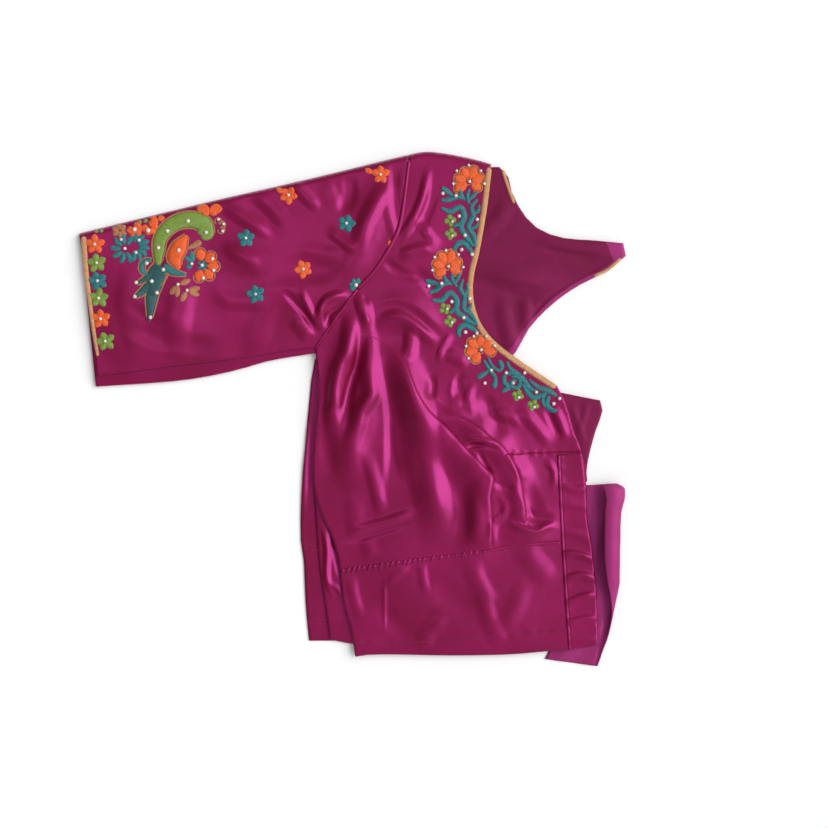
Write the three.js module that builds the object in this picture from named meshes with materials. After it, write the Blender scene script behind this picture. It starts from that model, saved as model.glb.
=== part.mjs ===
// A choli blouse, folded in half along its centre back and laid flat.
// Millimetres, +Z up. +X points to the centre front edge, +Y to the shoulder.
// The wearer's right half lies on top with its satin side up.
import * as THREE from 'three';

// ---------------------------------------------------------------- sizes
const CLOTH = 1.2;         // a panel: satin, its lining and the seam allowances
const STRIP = 1.0;         // a narrow strip sewn onto a panel
const SEAM_GAP = 0.3;      // between neighbouring pieces
const LAY_GAP = 0.5;       // between a panel and the layers that it lies on
const PIPING_WIDTH = 4.6;  // the gold border of neckline and cuff
const BACK_PIPING_WIDTH = 3;
const EDGE_MARGIN = 0.4;   // a strip stops this far short of the edge of its panel
const FLOOR_WALL = 1.5;    // a panel that lies on the table itself
const SECOND_WALL = FLOOR_WALL + SEAM_GAP;  // the underside of the panel on top of it
const CORE_EDGE = 3.8;     // the hidden layers: height at their edge
const CORE_MIDDLE = 5.6;   // and in the middle of the garment
const CORE_ROUNDING = 40;  // the width over which they rise
const ROLL = CORE_EDGE + LAY_GAP + CLOTH - 0.5;  // radius of the fold along sleeve and shoulder

const SATIN = { color: 0xa01c5c, roughness: 0.36, metalness: 0 };
const LINING = { color: 0x741f42, roughness: 0.8, metalness: 0 };
const GOLD_CORD = { color: 0xcd915f, roughness: 0.5, metalness: 0.3 };

// ------------------------------------------------------------- outlines
// Each table is one run of an outline, from one corner to the next. Along the top of the sleeve
// and the shoulder it is the line where the cloth starts to roll down.
const ARMHOLE = [
  { x: -28, y: 47 }, { x: -10, y: 73 }, { x: 5, y: 93 }, { x: 19, y: 108 },
  { x: 32, y: 129 }, { x: 39, y: 148 }, { x: 45, y: 193 },
];
const SHOULDER_FOLD = [
  { x: 45, y: 193 }, { x: 57, y: 195.5 }, { x: 74, y: 194 }, { x: 98, y: 189 }, { x: 108, y: 186 },
];
const NECKLINE = [
  { x: 108, y: 186 }, { x: 104, y: 157 }, { x: 98, y: 125 }, { x: 93, y: 107 }, { x: 93, y: 90 },
  { x: 99, y: 66 }, { x: 115, y: 50 }, { x: 138, y: 32 }, { x: 160, y: 18 },
];
const FRONT_EDGE = [
  { x: 160, y: 18 }, { x: 167, y: 5 }, { x: 174, y: -20 }, { x: 180, y: -34 },
  { x: 183, y: -60 }, { x: 184, y: -88 }, { x: 187, y: -104 },
];
const BAND_FRONT_EDGE = [
  { x: 187, y: -104 }, { x: 191, y: -144 }, { x: 192, y: -184 },
];
const WAIST_SEAM = [
  { x: -9, y: -126 }, { x: 21, y: -122 }, { x: 55, y: -117 }, { x: 81, y: -114 },
  { x: 106, y: -110 }, { x: 131, y: -106 }, { x: 163, y: -104 }, { x: 187, y: -104 },
];
const SIDE_EDGE = [
  { x: -28, y: 47 }, { x: -26, y: 11 }, { x: -29, y: -23 }, { x: -30, y: -56 },
  { x: -25, y: -79 }, { x: -14, y: -103 }, { x: -9, y: -126 },
];
const BAND_SIDE_EDGE = [
  { x: -9, y: -126 }, { x: -6, y: -151 }, { x: 0, y: -173 }, { x: 3, y: -193 },
];
const HEM = [
  { x: 3, y: -193 }, { x: 14, y: -191.5 }, { x: 84, y: -192 }, { x: 127, y: -191 },
  { x: 149, y: -189 }, { x: 169, y: -187.5 }, { x: 192, y: -184 },
];
const SLEEVE_FOLD = [
  { x: -211, y: 132 }, { x: -170, y: 142 }, { x: -104, y: 158 }, { x: -38, y: 173 },
  { x: 28, y: 189 }, { x: 45, y: 193 },
];
const CUFF = [
  { x: -198, y: 25 }, { x: -205, y: 85 }, { x: -211, y: 132 },
];
const SLEEVE_BOTTOM = [
  { x: -198, y: 25 }, { x: -138, y: 33 }, { x: -88, y: 39 }, { x: -49, y: 45 }, { x: -28, y: 47 },
];
const PLACKET_SEAM = [
  { x: 160, y: -36 }, { x: 162, y: -77 }, { x: 164, y: -116 }, { x: 167, y: -163 }, { x: 169, y: -187.5 },
];
const PLACKET_EDGE = [
  { x: 180, y: -34 }, { x: 183, y: -60 }, { x: 184, y: -88 }, { x: 187, y: -104 },
  { x: 191, y: -144 }, { x: 192, y: -184 },
];

// The back, upper part: its neckline, its point at the centre back and its keyhole edge.
const BACK_NECK = [
  { x: 104, y: 188 }, { x: 119, y: 187 }, { x: 127, y: 164 }, { x: 142, y: 143 },
  { x: 161, y: 134 }, { x: 191, y: 131 }, { x: 212, y: 129 },
];
const BACK_POINT = [
  { x: 214, y: 119 }, { x: 212, y: 129 },
];
const KEYHOLE = [
  { x: 121, y: 36 }, { x: 129, y: 45 }, { x: 139, y: 63 }, { x: 160, y: 84 },
  { x: 181, y: 98 }, { x: 198, y: 106 }, { x: 214, y: 119 },
];
const BACK_TUCK = [
  { x: 121, y: 36 }, { x: 109, y: 45 }, { x: 93, y: 62 }, { x: 86.5, y: 90 }, { x: 87, y: 108 },
  { x: 92, y: 126 }, { x: 98, y: 158 }, { x: 104, y: 188 },
];

// Its gold piping shows only where the edges turn up: by the shoulder, and by the point.
const BACK_NECK_PIPING = [
  { x: 119, y: 187 }, { x: 124.5, y: 172 }, { x: 128.5, y: 161 },
];
const KEYHOLE_PIPING = [
  { x: 188, y: 101.5 }, { x: 198, y: 106 }, { x: 210, y: 115.5 },
];

// The back, lower part: what shows behind the front edge.
const LOWER_BACK_TOP = [
  { x: 159, y: 13.5 }, { x: 194, y: 6.5 },
];
const LOWER_BACK_EDGE = [
  { x: 184, y: -57 }, { x: 183.5, y: -47 }, { x: 189, y: -22 }, { x: 196, y: 0 }, { x: 194, y: 6.5 },
];
const LOWER_BACK_TUCK = [
  { x: 175, y: -57 }, { x: 172, y: -35 }, { x: 165, y: -18 }, { x: 160, y: 2 }, { x: 159, y: 13.5 },
];
const LOWER_BACK_FOOT = [
  { x: 175, y: -57 }, { x: 184, y: -57 },
];

// The side panels at the left: the outer one lies on the table, the inner one on top of it.
const OUTER_SIDE = [
  { x: -37, y: -120 }, { x: -39.5, y: -103 }, { x: -38.5, y: -56 }, { x: -36, y: -30 },
  { x: -34, y: -6 }, { x: -31, y: 25 }, { x: -28.5, y: 39 },
];
const OUTER_SIDE_BAND = [
  { x: -33, y: -181 }, { x: -35.5, y: -155 }, { x: -37, y: -120 },
];
const OUTER_SIDE_TUCK = [
  { x: -9, y: -181 }, { x: -16, y: -145 }, { x: -20, y: -106 }, { x: -22, y: -56 },
  { x: -20, y: 0 }, { x: -24, y: 38 },
];
const INNER_SIDE = [
  { x: -17, y: -180 }, { x: -21, y: -150 }, { x: -25, y: -124 }, { x: -26.5, y: -106 }, { x: -30, y: -56 },
];
const INNER_SIDE_TUCK = [
  { x: 9, y: -185 }, { x: 8, y: -172 }, { x: 2, y: -151 }, { x: -2, y: -126 },
  { x: -6, y: -103 }, { x: -17, y: -79 }, { x: -22, y: -56 },
];

// The hidden layers, from cuff to hem: their inner side, along the underarm ...
const CORE_INNER_SLEEVE = [
  { x: -199, y: 17 }, { x: -128, y: 22.5 }, { x: -89, y: 30 }, { x: -65, y: 37 }, { x: -22, y: 44 },
];
const CORE_INNER_BODY = [
  { x: -22, y: 44 }, { x: -17, y: 30 }, { x: -16, y: 0 }, { x: -17, y: -56 }, { x: -11, y: -79 },
  { x: 0, y: -103 }, { x: 4, y: -126 }, { x: 8, y: -151 }, { x: 13, y: -172 }, { x: 14, y: -190 },
];
// ... and their outer side, along the shoulder, the neckline and the front edge.
const CORE_OUTER_SLEEVE = [
  { x: -210, y: 131.5 }, { x: -170, y: 141.5 }, { x: -104, y: 157.5 }, { x: -38, y: 172.5 },
  { x: 28, y: 188.5 }, { x: 57, y: 195 }, { x: 98, y: 187 },
];
const CORE_OUTER_BODY = [
  { x: 98, y: 187 }, { x: 96, y: 157 }, { x: 90, y: 126 }, { x: 85, y: 108 }, { x: 84.5, y: 90 },
  { x: 91, y: 61 }, { x: 107, y: 43 }, { x: 121, y: 32 }, { x: 152, y: 12 }, { x: 158, y: -6 },
  { x: 166, y: -33 }, { x: 170, y: -60 }, { x: 172, y: -110 }, { x: 171, y: -140 },
  { x: 162, y: -163 }, { x: 147, y: -178 }, { x: 143, y: -190 },
];
// Their edge: how far it stands in, and how high, as two rounded layers with a groove between.
const CORE_RIM = [
  { inset: 1.4, height: 0 }, { inset: 0.3, height: 0.7 }, { inset: 0.3, height: 1.4 },
  { inset: 1.5, height: 2.1 }, { inset: 0.4, height: 2.8 }, { inset: 0.5, height: 3.4 },
];

// The left front, from top to hem: where its wall starts under the right front, where it ends,
// and how its front edge curls up and over (half width and half height of the curl, degrees).
const LEFT_FRONT = [
  { startX: 176, startY: -60, endX: 212, endY: -59, curlWidth: 10, curlHeight: 6.5, turn: 165 },
  { startX: 176, startY: -66, endX: 213, endY: -65, curlWidth: 10, curlHeight: 6.5, turn: 165 },
  { startX: 176, startY: -76, endX: 210, endY: -76, curlWidth: 9, curlHeight: 6.5, turn: 160 },
  { startX: 177, startY: -94, endX: 208.5, endY: -94, curlWidth: 9, curlHeight: 6, turn: 150 },
  { startX: 178, startY: -114, endX: 208, endY: -114, curlWidth: 9, curlHeight: 6, turn: 140 },
  { startX: 178, startY: -132, endX: 208, endY: -134, curlWidth: 9, curlHeight: 5.5, turn: 120 },
  { startX: 176, startY: -146, endX: 205, endY: -150, curlWidth: 8, curlHeight: 5, turn: 95 },
  { startX: 170, startY: -160, endX: 202, endY: -166, curlWidth: 8, curlHeight: 5, turn: 70 },
  { startX: 162, startY: -172, endX: 199, endY: -181, curlWidth: 7, curlHeight: 5, turn: 50 },
  { startX: 150, startY: -195, endX: 194, endY: -201, curlWidth: 6, curlHeight: 5, turn: 35 },
];

// ---------------------------------------------------------------- folds
// A fold is a run of points from its top to its foot, its height, and how far it falls away
// on its side towards the sleeve (left) and towards the front edge (right).
const FRONT_FOLDS = [
  { // the bust pleat that starts at the armhole and overlaps towards the front edge
    height: 7, left: 32, right: 8,
    run: [{ x: 14, y: 60 }, { x: 34, y: 43 }, { x: 56, y: 4 }, { x: 88, y: -32 },
      { x: 107, y: -52 }, { x: 107, y: -82 }, { x: 106, y: -112 }],
  },
  { // the second bust pleat, nearer the front edge
    height: 6, left: 24, right: 8,
    run: [{ x: 63, y: 11 }, { x: 84, y: -4 }, { x: 116, y: -31 }, { x: 129, y: -59 }, { x: 135, y: -89 }],
  },
  { // the outer drape fold below the underarm
    height: 6, left: 10, right: 9,
    run: [{ x: 2, y: 80 }, { x: 0, y: 47 }, { x: -10, y: 28 }, { x: -12, y: 0 }, { x: -10, y: -40 }],
  },
  { // the inner drape fold below the underarm
    height: 6, left: 10, right: 11,
    run: [{ x: 16, y: 58 }, { x: 16, y: 28 }, { x: 14, y: 4 }, { x: 3, y: -22 }, { x: 0, y: -60 }],
  },
  { // the arch over the bust
    height: 4, left: 11, right: 13,
    run: [{ x: 18, y: 77 }, { x: 44, y: 75 }, { x: 68, y: 59 }],
  },
  { // the long soft ridge in the middle of the cup
    height: 5, left: 17, right: 15,
    run: [{ x: 50, y: 12 }, { x: 60, y: -20 }, { x: 66, y: -50 }, { x: 73, y: -92 }],
  },
  { // the puckered fold across, above the waistband
    height: 3, left: 8, right: 8,
    run: [{ x: 112, y: -80 }, { x: 130, y: -92 }, { x: 158, y: -91 }],
  },
];
const SLEEVE_FOLDS = [
  { // the fold that falls from the sleeve cap
    height: 4, left: 13, right: 15,
    run: [{ x: 30, y: 186 }, { x: 17, y: 150 }, { x: 6, y: 124 }, { x: -12, y: 90 }],
  },
  { // the diagonal pull from the underarm towards the cuff
    height: 3.5, left: 13, right: 17,
    run: [{ x: -18, y: 78 }, { x: -50, y: 98 }, { x: -100, y: 128 }],
  },
  { // the soft break across the forearm
    height: 2, left: 14, right: 12,
    run: [{ x: -128, y: 140 }, { x: -138, y: 95 }, { x: -132, y: 48 }],
  },
];
const BACK_FOLDS = [
  { // the crease across the upper back, inside
    height: 1.6, left: 9, right: 9,
    run: [{ x: 106, y: 96 }, { x: 140, y: 108 }, { x: 180, y: 120 }],
  },
];

// ---------------------------------------------------------- curve tools
const flat = (p) => new THREE.Vector3(p.x, p.y, 0);
const smooth = (t) => {
  const s = THREE.MathUtils.clamp(t, 0, 1);
  return s * s * (3 - 2 * s);
};

// Points at even steps along a smooth run through a table, moved left of its direction by shift.
function samples(table, cells, shift = 0) {
  const run = new THREE.CatmullRomCurve3(table.map(flat), false, 'centripetal');
  const points = [];
  for (let i = 0; i <= cells; i += 1) {
    const point = run.getPointAt(i / cells);
    const along = run.getTangentAt(i / cells);
    points.push(point.add(new THREE.Vector3(-along.y, along.x, 0).multiplyScalar(shift)));
  }
  return points;
}

const reversed = (points) => [...points].reverse();

// One side of a panel from several runs that meet at corners.
function joined(...runs) {
  return runs.flatMap((points, i) => (i === 0 ? points : points.slice(1)));
}

// Distance from a point to a polyline, and which side of it the point is on (left is positive).
function nearest(x, y, line) {
  let best = { distance: Infinity, side: 1, along: 0 };
  for (let i = 0; i + 1 < line.length; i += 1) {
    const a = line[i];
    const dx = line[i + 1].x - a.x;
    const dy = line[i + 1].y - a.y;
    const t = THREE.MathUtils.clamp(((x - a.x) * dx + (y - a.y) * dy) / (dx * dx + dy * dy), 0, 1);
    const ex = x - a.x - t * dx;
    const ey = y - a.y - t * dy;
    const distance = Math.hypot(ex, ey);
    if (distance < best.distance) {
      best = { distance, side: dx * ey - dy * ex, along: (i + t) / (line.length - 1) };
    }
  }
  return best;
}

function isInside(x, y, ring) {
  let inside = false;
  ring.forEach((a, i) => {
    const b = ring[(i + 1) % ring.length];
    const crosses = a.y > y !== b.y > y;
    if (crosses && x < a.x + ((y - a.y) / (b.y - a.y)) * (b.x - a.x)) inside = !inside;
  });
  return inside;
}

// The height that a table of folds adds at a point.
const FOLD_STEPS = 16;
const withLines = (folds) => folds.map((fold) => ({ ...fold, line: samples(fold.run, FOLD_STEPS) }));
function foldHeight(x, y, folds) {
  let height = 0;
  for (const { line, height: peak, left, right } of folds) {
    const { distance, side, along } = nearest(x, y, line);
    const reach = side > 0 ? right : left;
    const fade = smooth(along / 0.2) * smooth((1 - along) / 0.2);
    const ends = Math.max(fade, 0.15);
    height = Math.max(height, peak * ends * smooth(1 - distance / reach));
  }
  return height;
}

// ---------------------------------------------------------- solid tools
// A grid of points that blends four sides. Along runs from near to far: near, far, start and end
// are lists of points; near and far run the same way, and so do start and end.
function patch({ near, far, start, end }) {
  const columns = near.length - 1;
  const rows = start.length - 1;
  return start.map((first, j) => {
    const v = j / rows;
    return near.map((p, i) => {
      const u = i / columns;
      const across = p.clone().lerp(far[i], v);
      const along = first.clone().lerp(end[j], u);
      const corners = near[0].clone().lerp(near[columns], u)
        .lerp(far[0].clone().lerp(far[columns], u), v);
      return across.add(along).sub(corners);
    });
  });
}

const raised = (grid, heightOf) => grid.map((row) => row.map((p) => new THREE.Vector3(p.x, p.y, heightOf(p))));

// The points round the edge of a grid, in order.
function rimOf(grid) {
  const rows = grid.length;
  const columns = grid[0].length;
  const rim = [];
  for (let i = 0; i < columns - 1; i += 1) rim.push(grid[0][i]);
  for (let j = 0; j < rows - 1; j += 1) rim.push(grid[j][columns - 1]);
  for (let i = columns - 1; i > 0; i -= 1) rim.push(grid[rows - 1][i]);
  for (let j = rows - 1; j > 0; j -= 1) rim.push(grid[j][0]);
  return rim;
}

const ringArea = (ring) => THREE.ShapeUtils.area(ring.map((p) => new THREE.Vector2(p.x, p.y)));

// The level directions that point into a ring of points, one for each.
function inwardsOf(ring) {
  const turn = Math.sign(ringArea(ring));
  return ring.map((p, i) => {
    const before = ring.at(i - 1);
    const after = ring[(i + 1) % ring.length];
    return new THREE.Vector3(before.y - after.y, after.x - before.x, 0).normalize().multiplyScalar(turn);
  });
}

// The same grid with its edge drawn in by half a seam gap.
function trimmed(grid) {
  const rim = rimOf(grid);
  inwardsOf(rim).forEach((inwards, i) => rim[i].addScaledVector(inwards, SEAM_GAP / 2));
  return grid;
}

// A closed solid from lists of triangles, each of three points, turned outwards if need be.
function solid(triangles) {
  const volume = triangles.reduce((sum, [a, b, c]) => sum + a.dot(b.clone().cross(c)), 0);
  const positions = triangles.flatMap(([a, b, c]) => {
    const turned = volume < 0 ? [a, c, b] : [a, b, c];
    return turned.flatMap((p) => p.toArray());
  });
  const geometry = new THREE.BufferGeometry();
  geometry.setAttribute('position', new THREE.Float32BufferAttribute(positions, 3));
  geometry.computeVertexNormals();
  return geometry;
}

function gridTriangles(grid, flipped) {
  const triangles = [];
  for (let j = 0; j + 1 < grid.length; j += 1) {
    for (let i = 0; i + 1 < grid[j].length; i += 1) {
      const a = grid[j][i];
      const b = grid[j][i + 1];
      const c = grid[j + 1][i + 1];
      const d = grid[j + 1][i];
      triangles.push(...(flipped ? [[a, c, b], [a, d, c]] : [[a, b, c], [a, c, d]]));
    }
  }
  return triangles;
}

function bandTriangles(lower, upper) {
  const triangles = [];
  lower.forEach((a, i) => {
    const next = (i + 1) % lower.length;
    triangles.push([a, lower[next], upper[next]], [a, upper[next], upper[i]]);
  });
  return triangles;
}

// A wall of cloth: its upper grid of points, its lower grid, and the edge between them.
function wallBetween(upper, lower) {
  return solid([
    ...gridTriangles(upper, false),
    ...gridTriangles(lower, true),
    ...bandTriangles(rimOf(lower), rimOf(upper)),
  ]);
}

// A wall of one thickness, whose underside height is given at each point.
function clothWall(sides, undersideOf, thickness = CLOTH) {
  const grid = trimmed(patch(sides));
  return wallBetween(raised(grid, (p) => undersideOf(p) + thickness), raised(grid, undersideOf));
}

// The same wall, whose far side is rolled down through a quarter turn towards the table.
const ROLL_STEPS = 4;
function rolledWall(sides, undersideOf) {
  const grid = trimmed(patch(sides));
  const upper = raised(grid, (p) => undersideOf(p) + CLOTH);
  const lower = raised(grid, undersideOf);
  const edge = grid[grid.length - 1];
  const outwards = edge.map((p, i) => {
    const before = edge[Math.max(i - 1, 0)];
    const after = edge[Math.min(i + 1, edge.length - 1)];
    return new THREE.Vector3(before.y - after.y, after.x - before.x, 0).normalize();
  });
  const arc = (from, radius, angle) => from.map((p, i) => p.clone()
    .addScaledVector(outwards[i], radius * Math.sin(angle))
    .add(new THREE.Vector3(0, 0, radius * (Math.cos(angle) - 1))));
  const upperEdge = upper[upper.length - 1];
  const lowerEdge = lower[lower.length - 1];
  for (let k = 1; k <= ROLL_STEPS; k += 1) {
    const angle = (k / ROLL_STEPS) * (Math.PI / 2);
    upper.push(arc(upperEdge, ROLL, angle));
    lower.push(arc(lowerEdge, ROLL - CLOTH, angle));
  }
  return wallBetween(upper, lower);
}

// ------------------------------------------------------ the hidden layers
const coreSides = {
  near: joined(samples(CORE_INNER_SLEEVE, 12), samples(CORE_INNER_BODY, 16)),
  far: joined(samples(CORE_OUTER_SLEEVE, 13), samples(CORE_OUTER_BODY, 15)),
  start: samples([CORE_INNER_SLEEVE[0], { x: -206, y: 85 }, CORE_OUTER_SLEEVE[0]], 11),
  end: samples([CORE_INNER_BODY.at(-1), { x: 90, y: -190.5 }, CORE_OUTER_BODY.at(-1)], 11),
};
const coreGrid = patch(coreSides);
const coreOutline = rimOf(coreGrid);
const coreLoop = [...coreOutline, coreOutline[0]];

// The height of the hidden layers: lowest along their edge, level in the middle.
function coreHeight(p) {
  if (!isInside(p.x, p.y, coreOutline)) return CORE_EDGE;
  const { distance } = nearest(p.x, p.y, coreLoop);
  return CORE_EDGE + (CORE_MIDDLE - CORE_EDGE) * smooth(distance / CORE_ROUNDING);
}

function hiddenLayers() {
  const inwards = inwardsOf(coreOutline);
  const rings = CORE_RIM.map(({ inset, height }) => coreOutline
    .map((p, i) => new THREE.Vector3(p.x, p.y, height).addScaledVector(inwards[i], inset)));
  const top = raised(coreGrid, coreHeight);
  rings.push(rimOf(top));
  const foot = rings[0];
  const contour = foot.map((p) => new THREE.Vector2(p.x, p.y));
  const underside = THREE.ShapeUtils.triangulateShape(contour, [])
    .map(([a, b, c]) => [foot[a], foot[c], foot[b]]);
  return solid([
    ...gridTriangles(top, false),
    ...underside,
    ...rings.slice(1).flatMap((upper, k) => bandTriangles(rings[k], upper)),
  ]);
}

// ------------------------------------------------------ the upper panels
const frontFolds = withLines(FRONT_FOLDS);
const sleeveFolds = withLines(SLEEVE_FOLDS);
const backFolds = withLines(BACK_FOLDS);

const frontUnderside = (p) => coreHeight(p) + LAY_GAP + foldHeight(p.x, p.y, frontFolds);
const sleeveUnderside = (p) => coreHeight(p) + LAY_GAP + foldHeight(p.x, p.y, sleeveFolds);

const sleeveSides = {
  near: samples(SLEEVE_BOTTOM, 20),
  far: samples(SLEEVE_FOLD, 20),
  start: samples(CUFF, 14),
  end: samples(ARMHOLE, 14),
};

const frontSides = {
  near: samples(WAIST_SEAM, 20),
  far: samples(SHOULDER_FOLD, 20),
  start: joined(reversed(samples(SIDE_EDGE, 12)), samples(ARMHOLE, 14)),
  end: joined(reversed(samples(FRONT_EDGE, 10)), reversed(samples(NECKLINE, 16))),
};

const waistbandSides = {
  near: samples(HEM, 20),
  far: samples(WAIST_SEAM, 20),
  start: reversed(samples(BAND_SIDE_EDGE, 6)),
  end: reversed(samples(BAND_FRONT_EDGE, 6)),
};

// A strip that lies on the front or sleeve, along an edge that runs with the panel on its left.
function stripOn(undersideOf, edge, inner, across) {
  const grid = patch({
    near: edge,
    far: inner,
    start: samples([edge[0], inner[0]], across),
    end: samples([edge.at(-1), inner.at(-1)], across),
  });
  const restsAt = (p) => undersideOf(p) + CLOTH + LAY_GAP;
  return wallBetween(raised(grid, (p) => restsAt(p) + STRIP), raised(grid, restsAt));
}

function placket() {
  const cells = 16;
  const edge = samples(PLACKET_EDGE, cells, -EDGE_MARGIN);
  return stripOn(frontUnderside, edge, samples(PLACKET_SEAM, cells), 3);
}

function neckPiping() {
  const cells = 24;
  const edge = samples(NECKLINE, cells, -EDGE_MARGIN);
  return stripOn(frontUnderside, edge, samples(NECKLINE, cells, -PIPING_WIDTH), 2);
}

function cuffPiping() {
  const cells = 10;
  const edge = samples(CUFF, cells, -EDGE_MARGIN);
  return stripOn(sleeveUnderside, edge, samples(CUFF, cells, -PIPING_WIDTH), 2);
}

// ------------------------------------------------------ the lower panels
const backSides = {
  near: samples(KEYHOLE, 12),
  far: samples(BACK_NECK, 12),
  start: samples(BACK_TUCK, 10),
  end: samples(BACK_POINT, 10),
};
const lowerBackSides = {
  near: samples(LOWER_BACK_FOOT, 4),
  far: samples(LOWER_BACK_TOP, 4),
  start: samples(LOWER_BACK_TUCK, 8),
  end: samples(LOWER_BACK_EDGE, 8),
};

// The back rises a little away from the front, as its inside shows between the two necklines.
const backUnderside = (p) => SECOND_WALL + foldHeight(p.x, p.y, backFolds);
const onTable = () => 0;
const onSecond = () => SECOND_WALL;

function outerSide() {
  return clothWall({
    near: samples([OUTER_SIDE_BAND[0], OUTER_SIDE_TUCK[0]], 3),
    far: samples([OUTER_SIDE.at(-1), OUTER_SIDE_TUCK.at(-1)], 3),
    start: joined(samples(OUTER_SIDE_BAND, 5), samples(OUTER_SIDE, 9)),
    end: samples(OUTER_SIDE_TUCK, 14),
  }, onTable, FLOOR_WALL);
}

function innerSide() {
  return clothWall({
    near: samples([INNER_SIDE[0], INNER_SIDE_TUCK[0]], 4),
    far: samples([INNER_SIDE.at(-1), INNER_SIDE_TUCK.at(-1)], 4),
    start: samples(INNER_SIDE, 9),
    end: samples(INNER_SIDE_TUCK, 9),
  }, onSecond);
}

// The left front: a wall on the table whose front edge curls up and over.
const LEFT_FLAT_STEPS = 4;
const LEFT_CURL_STEPS = 7;
function leftFront() {
  const outer = [];
  const inner = [];
  for (const row of LEFT_FRONT) {
    const { startX, startY, endX, endY, curlWidth, curlHeight, turn } = row;
    const across = new THREE.Vector3(endX - startX, endY - startY, 0);
    const length = across.length();
    across.normalize();
    const at = (distance, height) => new THREE.Vector3(startX, startY, height)
      .addScaledVector(across, distance);
    const flatEnd = length - curlWidth;
    const outerRow = [];
    const innerRow = [];
    for (let i = 0; i < LEFT_FLAT_STEPS; i += 1) {
      outerRow.push(at((flatEnd * i) / LEFT_FLAT_STEPS, 0));
      innerRow.push(at((flatEnd * i) / LEFT_FLAT_STEPS, CLOTH));
    }
    for (let k = 0; k <= LEFT_CURL_STEPS; k += 1) {
      const angle = THREE.MathUtils.degToRad((turn * k) / LEFT_CURL_STEPS);
      const onCurl = (width, height) => at(
        flatEnd + width * Math.sin(angle),
        curlHeight - height * Math.cos(angle),
      );
      outerRow.push(onCurl(curlWidth, curlHeight));
      innerRow.push(onCurl(curlWidth - CLOTH, curlHeight - CLOTH));
    }
    outer.push(outerRow);
    inner.push(innerRow);
  }
  return wallBetween(inner, outer);
}

// Gold piping along an edge of the back, on top of its inside. Its width is negative where the
// panel is on the right of the run.
function backPiping(table, width) {
  const cells = 6;
  const edge = samples(table, cells, EDGE_MARGIN * Math.sign(width));
  return stripOn(backUnderside, edge, samples(table, cells, width), 1);
}

// ------------------------------------------------------------- the model
const garment = new THREE.Group();
const blouse = new THREE.Group();
garment.add(blouse);

function addPiece(name, geometry, finish) {
  const piece = new THREE.Mesh(geometry, new THREE.MeshStandardMaterial(finish));
  piece.name = name;
  blouse.add(piece);
}

addPiece('hidden_layers', hiddenLayers(), SATIN);
addPiece('sleeve_right', rolledWall(sleeveSides, sleeveUnderside), SATIN);
addPiece('front_right', rolledWall(frontSides, frontUnderside), SATIN);
addPiece('waistband_right', clothWall(waistbandSides, frontUnderside), SATIN);
addPiece('hook_placket', placket(), SATIN);
addPiece('neck_piping', neckPiping(), GOLD_CORD);
addPiece('cuff_piping', cuffPiping(), GOLD_CORD);
addPiece('back_right_upper', clothWall(backSides, backUnderside), LINING);
addPiece('back_left_upper', clothWall(backSides, onTable, FLOOR_WALL), SATIN);
addPiece('back_neck_piping', backPiping(BACK_NECK_PIPING, -BACK_PIPING_WIDTH), GOLD_CORD);
addPiece('keyhole_piping', backPiping(KEYHOLE_PIPING, BACK_PIPING_WIDTH), GOLD_CORD);
addPiece('back_right_lower', clothWall(lowerBackSides, onSecond), LINING);
addPiece('back_left_lower', clothWall(lowerBackSides, onTable, FLOOR_WALL), SATIN);
addPiece('side_left', outerSide(), SATIN);
addPiece('side_right', innerSide(), SATIN);
addPiece('front_left', leftFront(), LINING);

// The origin is under the middle of the garment, on the table.
const box = new THREE.Box3().setFromObject(blouse);
const middle = box.getCenter(new THREE.Vector3());
blouse.position.set(-middle.x, -middle.y, -box.min.z);

export default garment;
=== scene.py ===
# The looks of a choli blouse, folded in half along its centre back and laid flat:
# satin panels with their folds, linings, gold borders, thread embroidery and beads.
# Tables are in millimetres in the frame of the CAD model: +X to the front edge, +Y to the
# shoulder, +Z up from the table. MM turns them into Blender's metres.

import math
from collections import namedtuple

import bpy
import numpy as np
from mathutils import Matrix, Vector, noise
from mathutils.bvhtree import BVHTree
from mathutils.geometry import delaunay_2d_cdt
from mathutils.kdtree import KDTree


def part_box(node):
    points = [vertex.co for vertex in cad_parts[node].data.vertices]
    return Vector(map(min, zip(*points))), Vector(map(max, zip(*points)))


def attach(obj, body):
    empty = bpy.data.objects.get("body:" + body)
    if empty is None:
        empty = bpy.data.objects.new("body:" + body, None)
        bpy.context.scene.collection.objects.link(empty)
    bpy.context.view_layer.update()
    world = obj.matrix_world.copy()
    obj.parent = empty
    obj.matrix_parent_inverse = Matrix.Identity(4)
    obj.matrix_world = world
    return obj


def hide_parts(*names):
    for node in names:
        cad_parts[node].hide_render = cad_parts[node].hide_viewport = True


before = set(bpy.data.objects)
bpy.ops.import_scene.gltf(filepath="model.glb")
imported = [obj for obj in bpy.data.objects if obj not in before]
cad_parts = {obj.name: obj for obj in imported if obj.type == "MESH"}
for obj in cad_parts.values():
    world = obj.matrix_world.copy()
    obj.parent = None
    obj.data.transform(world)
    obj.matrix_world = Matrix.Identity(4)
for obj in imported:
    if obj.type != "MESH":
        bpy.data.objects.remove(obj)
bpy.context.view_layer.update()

MM = 0.001
SEED = 11
random = np.random.default_rng(SEED)

# ------------------------------------------------------------------ camera
FIELD = 646 * MM           # how much of the table the picture is wide
CAMERA_OVER = (48 * MM, -4 * MM)
CAMERA_HEIGHT = 1.5
SENSOR = 36.0
camera_data = bpy.data.cameras.new("camera")
camera_data.sensor_width = SENSOR
camera_data.lens = SENSOR * CAMERA_HEIGHT / FIELD
camera = bpy.data.objects.new("camera", camera_data)
camera.location = (*CAMERA_OVER, CAMERA_HEIGHT)
bpy.context.scene.collection.objects.link(camera)
bpy.context.scene.camera = camera


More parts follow.
